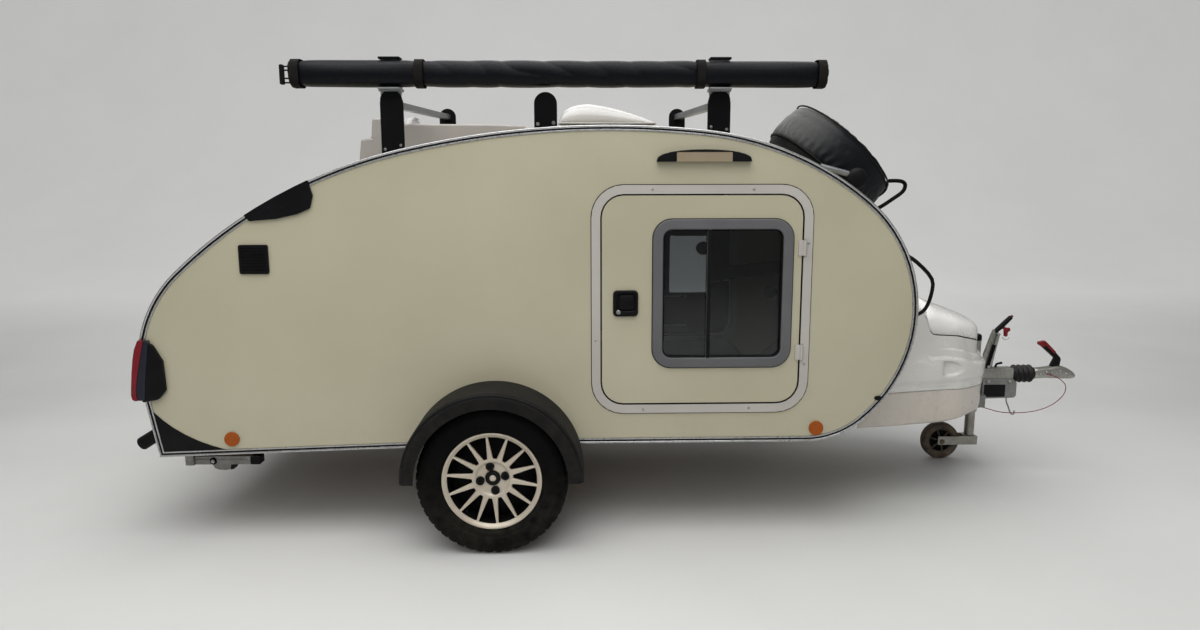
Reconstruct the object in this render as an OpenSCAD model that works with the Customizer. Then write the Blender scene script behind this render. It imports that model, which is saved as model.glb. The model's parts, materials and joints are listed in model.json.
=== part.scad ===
// Teardrop travel trailer with galley hatch, side doors, nose locker and roof rack.
// +X points forward to the coupling, +Y to the left side, +Z up, and the ground is at zero.

/* [Body] */
// Length of the body over its edge trim
body_len = 3075; // [3000:25:3150]
// Width over the side walls
body_w = 1520; // [1440:10:1620]
// Height of the body's lower edge above the ground
sill_z = 380; // [365:5:400]
// Rear bottom corner of the body behind the axle
tail_len = 1330; // [1300:10:1360]
// Thickness of the side walls and doors
wall_t = 38; // [32:1:44]
// Thickness of the roof, front and hatch panels
panel_t = 30; // [24:1:36]
// Thickness of the floor
floor_t = 30; // [22:1:38]
// Depth of the trim that edges the side walls
trim_t = 22; // [16:1:28]
// Width of the gaps round doors, hatch and lids
gap = 6; // [5:0.5:8]

/* [Doors] */
// Width over the door frame as a share of the body's length
door_w_share = 0.2797; // [0.2610:0.0001:0.2920]
// Height over the door frame as a share of the body's length
door_h_share = 0.2927; // [0.2740:0.0001:0.2980]
// Centre of the door ahead of the body's rear corner as a share of the body's length
door_x_share = 0.6976; // [0.6930:0.0001:0.7050]
// Lower edge of the door frame above the body's lower edge as a share of the body's length
door_z_share = 0.0407; // [0.0360:0.0001:0.0430]
// Corner radius of the door frame
door_r = 125; // [100:5:150]
// Width of the door frame's face
door_frame_w = 34; // [28:1:40]
// Width over the window frame as a share of the door's width
window_w_share = 0.6372; // [0.5820:0.0001:0.6500]
// Height over the window frame as a share of the door's height
window_h_share = 0.6500; // [0.6000:0.0001:0.6700]
// Width of the window frame's face
window_frame_w = 40; // [30:1:48]

/* [Wheels] */
// Diameter of the tyres
tyre_d = 583; // [570:1:596]
// Width of the tyres
tyre_w = 175; // [165:5:185]
// Diameter of the rim over its flanges
rim_d = 390; // [382:1:396]
// Radius of the fenders
fender_r = 350; // [340:2:370]
// Width of the fenders
fender_w = 220; // [212:2:240]

/* [Nose] */
// Length of the nose locker ahead of the body
nose_len = 585; // [565:5:600]
// Width of the nose locker at the body
nose_w = 1000; // [900:20:1100]
// Height of the nose locker's top above the body's lower edge
nose_rise = 500; // [470:5:520]
// Coupling tip ahead of the body
tongue_len = 1124; // [1100:4:1180]
// Height of the drawbar tube's axis above the ground
tongue_z = 474; // [466:1:482]
// Diameter of the jockey wheel
jockey_d = 190; // [180:2:200]

/* [Roof] */
// Height of the rack brackets' tops above the top of the roof
rack_h = 126; // [110:1:148]
// Length of the awning bag
awning_len = 2044; // [1900:4:2100]
// Height and width of the awning bag
awning_d = 104; // [90:2:116]
// Diameter of the covered spare wheel
spare_d = 590; // [560:5:610]
// Thickness of the covered spare wheel
spare_t = 205; // [190:1:215]

/* [Hidden] */
$fn = 48;

half_w = body_w / 2;
inner_w = half_w - wall_t;
cut = 2;
seat = 0.3;
running_clear = 0.05;
corner_steps = 6;
// Fittings on the body are placed from its rear bottom corner and move with the body's length
drawn_len = 3075;
stretch = body_len / drawn_len;
function body_x(u) = u * stretch - tail_len;
function body_z(h) = sill_z + h * stretch;

// Side outline of the body, from the rear bottom corner up, over the roof and down the front.
// Each leg: radius as a share of the body's length, turn in degrees; a straight leg has radius 0 and
// its length as a share instead of a turn.
outline_shares = [
    [0, 0.0878], [0.1680, 57], [0.6230, 30], [1.1580, 19], [0.3920, 33.5], [0.1860, 101], [0.1140, 39.5]
];
tail_lean = 100;
leg_count = len(outline_shares);
leg_steps = 12;
function leg_start(i) = i == 0 ? [0, 0, tail_lean] : leg_at(i - 1, 1);
function leg_at(i, f) =
    let (s = leg_start(i), r = outline_shares[i][0] * body_len, turn = outline_shares[i][1])
    r == 0 ? [s[0] + f * turn * body_len * cos(s[2]), s[1] + f * turn * body_len * sin(s[2]), s[2]]
    : let (h = s[2] - f * turn) [s[0] + r * (sin(s[2]) - sin(h)), s[1] - r * (cos(s[2]) - cos(h)), h];
chin = leg_at(leg_count - 1, 1);
tail = [-tail_len, sill_z - chin[1]];
// Point on the outline at station t, the leg's number plus the share along it, d inside the trim's edge
function edge(t, d) =
    let (i = min(floor(t), leg_count - 1), p = leg_at(i, t - i))
    [tail[0] + p[0] + d * sin(p[2]), tail[1] + p[1] - d * cos(p[2])];
function stations(t0, t1) = concat([t0],
    [for (k = [floor(t0 * leg_steps) + 1 : ceil(t1 * leg_steps) - 1]) if (k >= leg_steps) k / leg_steps],
    [t1]);
function backwards(list) = [for (i = [len(list) - 1 : -1 : 0]) list[i]];
function run(t0, t1, d) = [for (t = stations(t0, t1)) edge(t, d)];
function band(t0, t1, d0, d1) = concat(run(t0, t1, d0), backwards(run(t0, t1, d1)));
// Whole outline d inside the trim's edge; the lower edge runs level to below the axle and then down
knee = [0, sill_z];
sole_lean = atan2(tail[1] - knee[1], tail[0] - knee[0]);
function inward(h) = [sin(h), -cos(h)];
function onward(h) = [cos(h), sin(h)];
function tail_corner(d) =
    let (n = inward(sole_lean), slip = d * (1 - inward(tail_lean) * n) / (onward(tail_lean) * n))
    tail + d * inward(tail_lean) + slip * onward(tail_lean);
function outline(d) = concat([tail_corner(d)], run(1, leg_count, d), [knee + [0, d]]);
roof_span_shares = [1.2, 5.4];
roof_line = run(roof_span_shares[0], roof_span_shares[1], 0);
front_x = max([for (p = outline(0)) p[0]]);
roof_top = max([for (p = outline(0)) p[1]]);
mid_z = (sill_z + roof_top) / 2;

// Rounded corner at b between a and c
function unit(v) = v / norm(v);
function corner(a, b, c, r) =
    let (u = unit(a - b), v = unit(c - b), half = acos(u * v) / 2, m = b + unit(u + v) * r / sin(half),
        p = b + u * r / tan(half) - m, q = b + v * r / tan(half) - m,
        a0 = atan2(p[1], p[0]), turn = atan2(p[0] * q[1] - p[1] * q[0], p * q))
    [for (k = [0 : corner_steps]) m + r * onward(a0 + turn * k / corner_steps)];
function rounded(pts, r) = let (n = len(pts)) [for (i = [0 : n - 1])
    each corner(pts[(i + n - 1) % n], pts[i], pts[(i + 1) % n], is_list(r) ? r[i] : r)];
function box(x0, z0, x1, z1) = [[x0, z0], [x0, z1], [x1, z1], [x1, z0]];
// Outline moved inwards by d, for points that run clockwise
function inset(pts, d) = let (n = len(pts)) [for (i = [0 : n - 1])
    let (u = unit(pts[i] - pts[(i + n - 1) % n]), v = unit(pts[(i + 1) % n] - pts[i]),
        nu = [u[1], -u[0]], nv = [v[1], -v[0]]) pts[i] + d * (nu + nv) / (1 + nu * nv)];
// Ring of points round a tube's path, and the tube itself
function tube_dir(path, i) = unit(path[min(i + 1, len(path) - 1)] - path[max(i - 1, 0)]);
module tube(path, r, sides = 8) {
    n = len(path);
    rings = [for (i = [0 : n - 1])
        let (t = tube_dir(path, i), u = unit(cross(t, [0, 1, 0])), v = cross(t, u))
        for (k = [0 : sides - 1]) path[i] + r * (u * cos(360 * k / sides) + v * sin(360 * k / sides))];
    sides_faces = [for (i = [0 : n - 2]) for (k = [0 : sides - 1])
        [i * sides + k, i * sides + (k + 1) % sides, (i + 1) * sides + (k + 1) % sides, (i + 1) * sides + k]];
    caps = [[for (k = [sides - 1 : -1 : 0]) k], [for (k = [0 : sides - 1]) (n - 1) * sides + k]];
    polyhedron(rings, concat(sides_faces, caps), convexity = 6);
}
// Smooth curve through the points of a short path
function spline_at(p, i, f) =
    let (n = len(p), a = p[max(i - 1, 0)], b = p[i], c = p[min(i + 1, n - 1)], d = p[min(i + 2, n - 1)])
    (2 * b + (c - a) * f + (2 * a - 5 * b + 4 * c - d) * f * f + (3 * b - a - 3 * c + d) * f * f * f) / 2;
function smooth(p, steps) = concat(
    [for (i = [0 : len(p) - 2]) for (k = [0 : steps - 1]) spline_at(p, i, k / steps)], [p[len(p) - 1]]);

// Everything is drawn with the axle at x = 0 and moved so that the overall box is centred
lens_out = 34;
lamp_t0 = 0.86;
lamp_t1 = 1.4;
tail_x = min([for (p = run(lamp_t0, lamp_t1, -lens_out)) p[0]]);
tip_x = front_x + tongue_len;
axle_x = -(tip_x + tail_x) / 2;
module placed() { translate([axle_x, 0, 0]) children(); }
// Draws an XZ shape as a slab across the trailer, half width w to each side
module across(w) { rotate([90, 0, 0]) linear_extrude(height = 2 * w, center = true) children(); }
// Draws an XZ shape on the right side, from proud outside the wall's face to deep inside it
module on_wall(proud, deep) {
    translate([0, deep - half_w, 0]) rotate([90, 0, 0]) linear_extrude(height = proud + deep) children();
}
module left() { mirror([0, 1, 0]) children(); }
module pair() { children(); left() children(); }
// Turns a shape made round +Z so that it lies round the axle, outward to the right
module round_axle(out) { translate([0, -out, tyre_d / 2]) rotate([90, 0, 0]) children(); }

// Panels of the shell
panel_d = 4;
hatch_foot_t = 0.32;
hatch_top_t = 2.5;
brow_t = 4.5;
chin_t = 6.9;
rear_leg = outline_shares[0][1] * body_len;
hatch_leg = outline_shares[2][0] * body_len * outline_shares[2][1] * PI / 180;
module shell(t0, t1, w) { across(w) polygon(band(t0, t1, panel_d, panel_d + panel_t)); }
skylight_u = 1580;
skylight_x0 = body_x(skylight_u);
skylight_run = 440;
skylight_len = skylight_run * stretch;
skylight_w = 480;
skylight_wall = 40;
module skylight_box(margin, h) {
    z = lookup(skylight_x0 + skylight_len / 2, roof_line);
    translate([skylight_x0 + margin, margin - skylight_w / 2, z - h])
        cube([skylight_len - 2 * margin, skylight_w - 2 * margin, 2 * h]);
}
// Barrel hinges: a barrel on the fixed side, and a leaf on the moving side that reaches up to it
barrel_r = 6;
barrel_len = 110;
barrel_sunk = 1;
leaf_t = 6;
leaf_len = 46;
hatch_hinge_ys = [-520, 0, 520];
hatch_axis_t = hatch_top_t + (gap / 2 + barrel_r) / hatch_leg;
hatch_axis = edge(hatch_axis_t, panel_d - barrel_r + barrel_sunk);
module barrels(axis, ys) {
    for (y = ys)
        translate([axis[0], y, axis[1]]) rotate([90, 0, 0])
            cylinder(r = barrel_r, h = barrel_len, center = true);
}
module leaves(ys) {
    for (y = ys) translate([0, y, 0]) across(barrel_len / 2) children();
}
module roof_panel() color("ivory") placed() difference() {
    union() {
        shell(hatch_top_t + gap / 2 / hatch_leg, brow_t, inner_w);
        barrels(hatch_axis, hatch_hinge_ys);
    }
    skylight_box(skylight_wall, 2 * panel_t + gap);
}
module front_panel() color("ivory") placed() shell(brow_t, chin_t, inner_w);
module rear_panel() color("ivory") placed() shell(0, hatch_foot_t - gap / rear_leg, inner_w);
module tailgate() color("ivory") placed() {
    tip_t = hatch_top_t + (gap / 2 - seat) / hatch_leg;
    shell(hatch_foot_t, hatch_top_t - gap / 2 / hatch_leg, inner_w - gap);
    leaves(hatch_hinge_ys) polygon(band(tip_t - leaf_len / hatch_leg, tip_t, panel_d - leaf_t, panel_d));
}
module floor_panel() color("burlywood") placed() {
    x0 = -tail_len + (panel_d + panel_t) / sin(tail_lean);
    x1 = min(edge(chin_t, panel_d)[0], edge(chin_t, panel_d + panel_t)[0]);
    translate([x0, -inner_w, sill_z]) cube([x1 - x0, 2 * inner_w, floor_t]);
}
module door_shape(d) {
    x0 = door_x - door_w / 2;
    polygon(rounded(box(x0 + d, door_z + d, x0 + door_w - d, door_z + door_h - d), door_r - d));
}
module wall_board() {
    on_wall(0, wall_t) difference() {
        polygon(outline(trim_t));
        door_shape(0);
    }
}
module wall_right() color("ivory") placed() wall_board();
module wall_left() color("ivory") placed() left() wall_board();
trim_proud = 3;
module edge_trims() color("silver") placed() pair() on_wall(trim_proud, wall_t) difference() {
    polygon(outline(0));
    polygon(outline(trim_t));
}

// Galley behind the bulkhead, reached through the hatch
bulkhead_u = 810;
bulkhead_x = body_x(bulkhead_u);
board_t = 18;
worktop_rise = 500;
worktop_z = body_z(worktop_rise);
worktop_len_share = 0.76;
module galley_unit() color("tan") placed() {
    top = lookup(bulkhead_x, roof_line) - panel_d - panel_t;
    drop = (lookup(bulkhead_x + board_t, roof_line) - lookup(bulkhead_x, roof_line));
    deep = worktop_len_share * (tail_len + bulkhead_x);
    across(inner_w) union() {
        intersection() {
            polygon(box(bulkhead_x, sill_z + floor_t, bulkhead_x + board_t, top + drop));
            polygon(outline(panel_d + panel_t));
        }
        polygon(box(bulkhead_x - deep, worktop_z, bulkhead_x, worktop_z + board_t));
        polygon(box(bulkhead_x - deep, sill_z + floor_t, bulkhead_x - deep + board_t, worktop_z));
    }
}
mattress_run = 1720;
mattress_len = mattress_run * stretch;
mattress_h = 120;
mattress_r = 40;
module mattress() color("dimgray") placed() {
    x0 = bulkhead_x + board_t + gap;
    z0 = sill_z + floor_t;
    across(inner_w - gap) polygon(rounded(box(x0, z0, x0 + mattress_len, z0 + mattress_h), mattress_r));
}

// Doors, hinged at their front edge
door_w = door_w_share * body_len;
door_h = door_h_share * body_len;
door_x = body_x(door_x_share * drawn_len);
door_z = body_z(door_z_share * drawn_len);
window_w = window_w_share * door_w;
window_h = window_h_share * door_h;
frame_proud = 5;
door_proud = 2;
hinge_r = 6;
hinge_len = 60;
hinge_shares = [0.27, 0.73];
hinge_leaf = 18;
door_in = door_frame_w + gap;
hinge_x = door_x + door_w / 2 - door_frame_w + hinge_r - cut;
hinge_y = -(half_w + frame_proud + hinge_r - barrel_sunk);
window_x_share = 0.5953;
window_z_share = 0.53;
window_x = door_x + (window_x_share - 1 / 2) * door_w;
window_z = door_z + window_z_share * door_h;
window_r = 75;
module window_shape(d) {
    polygon(rounded(box(window_x - window_w / 2 + d, window_z - window_h / 2 + d,
        window_x + window_w / 2 - d, window_z + window_h / 2 - d), window_r - d));
}
module frame_ring() {
    on_wall(frame_proud, wall_t) difference() {
        door_shape(0);
        door_shape(door_frame_w);
    }
    for (s = hinge_shares)
        translate([hinge_x, hinge_y, door_z + s * door_h - hinge_len / 2])
            cylinder(r = hinge_r, h = hinge_len);
}
module door_frames() color("gainsboro") placed() pair() frame_ring();
module door_leaf() {
    on_wall(door_proud, wall_t) difference() {
        door_shape(door_in);
        window_shape(0);
    }
    leaf_out = frame_proud + hinge_r - barrel_sunk - door_proud;
    for (s = hinge_shares)
        translate([hinge_x - hinge_r - seat - hinge_leaf, -half_w - door_proud - leaf_out,
            door_z + s * door_h - hinge_len / 2]) cube([hinge_leaf, leaf_out, hinge_len]);
}
module door_right() color("ivory") placed() door_leaf();
module door_left() color("ivory") placed() left() door_leaf();
window_proud = 12;
divider_w = 12;
divider_share = 0.4;
glass_t = 4;
glass_deep = 14;
module window_bar() {
    x = window_x - window_w / 2 + divider_share * window_w;
    polygon(box(x - divider_w / 2, window_z - window_h / 2, x + divider_w / 2, window_z + window_h / 2));
}
module window_ring() {
    on_wall(window_proud, wall_t) difference() {
        window_shape(0);
        difference() {
            window_shape(window_frame_w);
            window_bar();
        }
    }
}
module window_frame_right() color("gray") placed() window_ring();
module window_frame_left() color("gray") placed() left() window_ring();
module panes() {
    on_wall(glass_t - glass_deep, glass_deep) difference() {
        window_shape(window_frame_w);
        window_bar();
    }
}
module glass_right() color([0.1, 0.1, 0.1, 0.6]) placed() panes();
module glass_left() color([0.1, 0.1, 0.1, 0.6]) placed() left() panes();
latch_w = 98;
latch_h = 102;
latch_r = 16;
latch_t = 14;
latch_x_share = 0.154;
latch_z_share = 0.492;
module latch_block() {
    x = door_x - door_w / 2 + latch_x_share * door_w;
    z = door_z + latch_z_share * door_h;
    on_wall(door_proud + latch_t, -door_proud)
        polygon(rounded(box(x - latch_w / 2, z - latch_h / 2, x + latch_w / 2, z + latch_h / 2), latch_r));
}
module latch_right() color("black") placed() latch_block();
module latch_left() color("black") placed() left() latch_block();

// Chassis ladder and A-frame, drawn in plan
rail_h = 60;
rail_w = 40;
rail_y = 430;
a_frame_run = 577;
a_frame_back = front_x - a_frame_run;
a_frame_reach = 650;
a_frame_tip = front_x + a_frame_reach;
tip_half = 62;
rail_inset = 60;
rail_back = tail_len - rail_inset;
axle_lead = 150;
axle_s = 80;
beam_xs = [-rail_back, axle_lead - axle_s / 2, a_frame_back];
module rail_plan() {
    for (s = [-1, 1]) {
        polygon([[-rail_back, s * (rail_y - rail_w / 2)], [-rail_back, s * (rail_y + rail_w / 2)],
            [a_frame_back, s * (rail_y + rail_w / 2)], [a_frame_tip, s * tip_half],
            [a_frame_tip, s * (tip_half - rail_w)], [a_frame_back, s * (rail_y - rail_w / 2)]]);
    }
    for (x = beam_xs) translate([x, -rail_y]) square([2 * rail_w, 2 * rail_y]);
    translate([a_frame_tip - 2 * rail_w, -tip_half]) square([2 * rail_w, 2 * tip_half]);
}
// Outer face of an A-frame rail, from the middle
function rail_out(x) =
    tip_half + (a_frame_tip - x) * (rail_y + rail_w / 2 - tip_half) / (a_frame_tip - a_frame_back);
steady_len = 275;
steady_inset = 20;
steady_x = steady_inset - rail_back;
steady_y = 660;
steady_drop = 82;
steady_z = sill_z - steady_drop;
steady_h = 34;
steady_w = 44;
lug_t = 8;
pin_r = 8;
pin_clear = 0.1;
module steady_lugs() {
    for (s = [-1, 1])
        translate([steady_x, -steady_y + s * (steady_w / 2 + lug_t / 2 + cut), 0]) rotate([90, 0, 0])
            linear_extrude(height = lug_t, center = true)
                polygon(box(-steady_h / 2, steady_z - steady_h / 2, steady_h / 2, sill_z));
    translate([steady_x, -steady_y, steady_z]) rotate([90, 0, 0])
        cylinder(r = pin_r, h = steady_w + 2 * (lug_t + cut), center = true);
}
module chassis_frame() color("darkgray") placed() {
    translate([0, 0, sill_z - rail_h]) linear_extrude(height = rail_h) rail_plan();
    pair() {
        steady_lugs();
        translate([steady_x - steady_h / 2, -steady_y - steady_w / 2 - lug_t - cut, sill_z - lug_t])
            cube([steady_h, steady_y - rail_y + steady_w / 2 + lug_t + cut, lug_t]);
    }
}
arm_inset = 34;
arm_y = half_w - arm_inset;
arm_t = 24;
arm_h = 62;
stub_r = 17;
hub_y = half_w + (fender_w - tyre_w) / 2 - cut;
module axle_beam() color("darkgray") placed()
    translate([axle_lead, 0, sill_z - rail_h - axle_s / 2])
        cube([axle_s, 2 * (arm_y - arm_t / 2), axle_s], center = true);
module axle_arms() color("dimgray") placed() pair() {
    axle_z = sill_z - rail_h - axle_s / 2;
    on_wall(arm_t / 2 - half_w + arm_y, half_w - arm_y + arm_t / 2)
        polygon(rounded([[-arm_h / 2, tyre_d / 2 - arm_h / 2], [-arm_h / 2, tyre_d / 2 + arm_h / 2],
            [axle_lead + axle_s / 2, axle_z + axle_s / 2], [axle_lead + axle_s / 2, axle_z - axle_s / 2]],
            arm_h / 4));
    round_axle(arm_y) cylinder(r = stub_r, h = hub_y + tyre_w / 2 - arm_y);
}

// Road wheels
wheel_out = half_w + (fender_w - tyre_w) / 2 + tyre_w / 2 - cut;
rim_seat_r = 178;
rim_half = 70;
flange_t = 8;
barrel_t = 7;
tyre_shares = [[0.395, 0.612], [0.396, 0.673], [0.50, 0.80], [0.49, 0.90], [0.43, 0.975], [0.36, 1]];
module tyre_ring() {
    half = [for (p = tyre_shares) [p[1] * tyre_d / 2, p[0] * tyre_w]];
    round_axle(wheel_out) rotate_extrude($fn = 96)
        polygon(concat(half, [for (p = backwards(half)) [p[0], -p[1]]]));
}
module tyre_right() color("black") placed() tyre_ring();
module tyre_left() color("black") placed() left() tyre_ring();
disc_out = 44;
disc_t = 14;
hub_r = 71;
hub_len = 70;
spoke_count = 14;
window_in_r = 84;
window_out_r = 163;
window_in_share = 0.34;
window_out_share = 0.68;
module rim_wheel() {
    bore = stub_r + running_clear;
    r = rim_d / 2;
    step = 180 / spoke_count;
    round_axle(wheel_out) difference() {
        rotate_extrude($fn = 96) polygon([
            [bore, disc_out - hub_len], [bore, disc_out - flange_t], [hub_r, disc_out - flange_t],
            [hub_r + flange_t, disc_out], [rim_seat_r - barrel_t, disc_out],
            [rim_seat_r - barrel_t / 2, rim_half], [r - flange_t, rim_half + flange_t],
            [r, rim_half + flange_t], [r, rim_half], [rim_seat_r, rim_half],
            [rim_seat_r, -rim_half], [r, -rim_half], [r, -rim_half - flange_t],
            [r - flange_t, -rim_half - flange_t], [rim_seat_r - barrel_t, -rim_half],
            [rim_seat_r - barrel_t, disc_out - disc_t], [hub_r, disc_out - disc_t - flange_t],
            [hub_r - flange_t, disc_out - hub_len]]);
        for (k = [0 : spoke_count - 1])
            rotate([0, 0, 2 * k * step]) translate([0, 0, disc_out - hub_len])
                linear_extrude(height = 2 * hub_len) polygon([
                    window_in_r * onward(-step * window_in_share),
                    window_in_r * onward(step * window_in_share),
                    window_out_r * onward(step * window_out_share),
                    window_out_r * onward(-step * window_out_share)]);
    }
}
module rim_right() color("silver") placed() rim_wheel();
module rim_left() color("silver") placed() left() rim_wheel();
fender_t = 4;
fender_lip = 58;
fender_round = 26;
module fender_arch() {
    r = fender_r;
    a = fender_w;
    m = [r - fender_round, a - fender_round];
    arc = [for (k = [0 : corner_steps]) m + fender_round * onward(90 * k / corner_steps)];
    arc_in = [for (p = backwards(arc)) m + (p - m) * (1 - fender_t / fender_round)];
    lip = [[r - fender_lip, a], [r - fender_lip, a - fender_t]];
    translate([0, -half_w, tyre_d / 2]) rotate([90, 0, 0]) rotate_extrude(angle = 180, $fn = 96)
        polygon(concat([[r - fender_t, 0], [r, 0]], arc, lip, arc_in));
}
module fenders() color("#2b2b2d") placed() pair() difference() {
    fender_arch();
    on_wall(trim_proud + seat, wall_t) difference() {
        polygon(outline(-cut));
        polygon(outline(trim_t + cut));
    }
}

// Nose locker over the A-frame
nose_wall = 6;
nose_top = body_z(nose_rise);
tongue_room = 42;
nose_floor_z = tongue_z + tongue_room;
nose_drop = 35;
nose_low = sill_z - nose_drop;
lid_x_share = 0.316;
lid_x = front_x + lid_x_share * nose_len;
lid_h = 135;
lid_z = nose_top - lid_h;
body_clear = panel_d - seat;
skirt_h = 195;
skirt_z = nose_low + skirt_h;
front_span_shares = [4.6, 5.95];
// Front panel's face seen from the side, as height and place, and the locker's back that follows it
front_line = [for (p = backwards(run(front_span_shares[0], front_span_shares[1], body_clear))) [p[1], p[0]]];
function front_face(z) = [lookup(z, front_line), z];
nose_back = concat([front_face(skirt_z)],
    [for (p = front_line) if (p[0] > skirt_z && p[0] < nose_top) [p[1], p[0]]], [front_face(nose_top)]);
nose_front_shares = [[0.945, 0.97], [0.975, 0.62], [1, 0.47], [0.99, 0.12], [0.93, 0]];
function nose_front(h) = [for (s = nose_front_shares) [front_x + s[0] * nose_len, nose_low + s[1] * h]];
nose_tub = concat([[lid_x - gap, nose_top - gap], [lid_x + gap, lid_z - gap]], nose_front(lid_z - nose_low),
    [[nose_back[0][0], nose_low]], nose_back);
nose_cap_shares = [[0.85, 0.23], [0.905, 0.10], [0.93, 0]];
nose_cap = concat([[lid_x, nose_top - gap]],
    [for (s = nose_cap_shares) [front_x + s[0] * nose_len, lid_z + s[1] * lid_h]],
    [[lid_x + 2 * gap, lid_z]]);
lid_hinge_ys = [-180, 180];
lid_axis = [lid_x - gap - barrel_r, nose_top - gap + barrel_r - barrel_sunk];
nose_plan_shares = [[-0.3, 1], [0.62, 0.80], [0.86, 0.62], [0.97, 0.40], [1, 0.2]];
function nose_plan(d) =
    let (right = [for (s = nose_plan_shares) [front_x + s[0] * nose_len, -s[1] * nose_w / 2]])
    inset(concat([for (p = backwards(right)) p], [for (p = right) [p[0], -p[1]]]), d);
notch_share = 0.94;
notch_half = rail_out(front_x + notch_share * nose_len) + gap;
module in_plan(d) { linear_extrude(height = 2 * nose_top) polygon(nose_plan(d)); }
module nose_box() color("white") placed() {
    inner_x = lid_x - gap - nose_wall;
    ahead = front_x + 2 * nose_len;
    difference() {
        intersection() {
            across(nose_w) polygon(nose_tub);
            in_plan(0);
        }
        intersection() {
            across(nose_w) polygon([[inner_x, nose_top + cut], [ahead, nose_top + cut],
                [ahead, nose_floor_z + nose_wall], [front_x + nose_wall, nose_floor_z + nose_wall],
                [front_x + nose_wall, nose_top - 3 * nose_wall], [inner_x, nose_top - 3 * nose_wall]]);
            in_plan(nose_wall);
        }
        intersection() {
            across(nose_w) polygon(box(front_x - nose_len, nose_low - cut, ahead, nose_floor_z));
            in_plan(nose_wall);
        }
        across(notch_half) polygon(box(front_x + nose_len / 2, nose_low - cut, ahead, nose_floor_z));
    }
    barrels(lid_axis, lid_hinge_ys);
}
module nose_lid() color("white") placed() {
    difference() {
        intersection() {
            across(nose_w) polygon(nose_cap);
            in_plan(0);
        }
        intersection() {
            across(nose_w) polygon([for (p = inset(nose_cap, nose_wall))
                p[1] < lid_z + 2 * nose_wall ? [p[0], lid_z - cut] : p]);
            in_plan(nose_wall);
        }
    }
    a = nose_cap[0];
    b = a + leaf_len * unit(nose_cap[1] - a);
    tip = lid_axis[0] + barrel_r + seat;
    leaves(lid_hinge_ys) polygon([[tip, a[1]], [tip, a[1] + leaf_t], b + [0, leaf_t], b, a]);
}

// Drawbar, overrun coupling and handbrake
tube_r = 29;
bellows_r = 41;
bellows_len = 110;
bellows_reach = 800;
bellows_x = front_x + bellows_reach;
head_x = bellows_x + bellows_len;
ball_r = 25.2;
cup_r = 34;
cup_x = tip_x - cup_r;
cup_drop = 26;
cup_low = tongue_z - cup_drop;
cup_h = 58;
cup_deep = 8;
module along_x(x0) { translate([x0, 0, tongue_z]) rotate([0, 90, 0]) children(); }
tube_back = 250;
tube_x0 = a_frame_tip - tube_back;
module drawbar_tube() color("silver") placed() along_x(tube_x0) cylinder(r = tube_r, h = head_x - tube_x0);
rib_count = 4;
rib_share = 0.88;
module bellows() color("#111111") placed() along_x(bellows_x) rotate_extrude() {
    pitch = bellows_len / rib_count;
    valley_r = rib_share * bellows_r;
    polygon(concat([[tube_r + seat, 0]],
        [for (k = [0 : rib_count - 1]) each [[valley_r, k * pitch], [bellows_r, (k + 1 / 2) * pitch]]],
        [[valley_r, bellows_len], [tube_r + seat, bellows_len]]));
}
neck_share = 0.8;
module head_cone(room) {
    along_x(head_x) cylinder(r1 = tube_r + room, r2 = neck_share * tube_r + room, h = cup_x - head_x);
}
module coupling_head() color("silver") placed() difference() {
    union() {
        head_cone(0);
        translate([cup_x, 0, cup_low]) cylinder(r = cup_r, h = cup_h);
    }
    translate([cup_x, 0, cup_low - cut]) cylinder(r = ball_r, h = ball_r + cup_deep + cut);
}
lever_w = 26;
lever_shares = [[0, 0], [0.3, 0], [0.9, 0.36], [0.75, 0.48], [0.05, 1], [-0.45, 0.95], [0.35, 0.46]];
lever_len = 62;
lever_h = 156;
lever_lead = 74;
lever_x = head_x + lever_lead;
module coupling_lever() color("#1a1a1a") placed() difference() {
    across(lever_w / 2)
        polygon([for (s = backwards(lever_shares)) [lever_x + s[0] * lever_len, tongue_z + s[1] * lever_h]]);
    head_cone(seat);
}
housing_w = 80;
housing_len = bellows_x - a_frame_tip;
housing_drop = 34;
housing_low = sill_z - housing_drop;
module overrun_housing() color("lightgray") placed() difference() {
    across(housing_w / 2) polygon(box(a_frame_tip, housing_low, a_frame_tip + housing_len, tongue_z));
    along_x(a_frame_tip - cut) cylinder(r = tube_r + seat, h = housing_len + 2 * cut);
}
brake_lead = 12;
brake_x = a_frame_tip + brake_lead;
brake_t = 16;
brake_shares = [
    [0, 0], [-0.15, 0.3], [0.2, 0.72], [0.42, 0.8], [1, 1.02], [1.1, 0.94], [0.5, 0.68], [0.3, 0.4], [0.28, 0]
];
brake_len = 100;
brake_h = 266;
module handbrake_lever() color("gray") placed() across(brake_t / 2) difference() {
    polygon([for (s = brake_shares) [brake_x + s[0] * brake_len, tongue_z + s[1] * brake_h]]);
    translate([brake_x - brake_len, tongue_z - tube_r]) square([4 * brake_len, 2 * tube_r]);
}

// Breakaway cable, from the coupling head down and back to the A-frame's underside. Each point: share of the
// way from the A-frame's tip to the coupling's tip, place across, share of the height from rail to drawbar
cable_r = 2;
cable_shares = [
    [0.660, 1.000], [0.719, 0.974], [0.786, 0.857], [0.833, 0.701], [0.837, 0.519], [0.812, 0.351],
    [0.765, 0.195], [0.702, 0.052], [0.622, -0.065], [0.533, -0.143], [0.428, -0.188], [0.322, -0.201],
    [0.217, -0.188], [0.132, -0.149], [0.065, -0.091], [-0.019, -0.0156]
];
cable_ys = [-29.6, -44, -52, -56, -58, -60, -60, -60, -60, -60, -60, -60, -59, -57, -54, -50];
cable_route = [for (i = [0 : len(cable_ys) - 1]) let (s = cable_shares[i], low = sill_z - rail_h)
    [a_frame_tip + s[0] * (tip_x - a_frame_tip), cable_ys[i], low + s[1] * (tongue_z - low)]];
module breakaway_cable() color("darkred") placed() tube(cable_route, cable_r);

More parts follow.
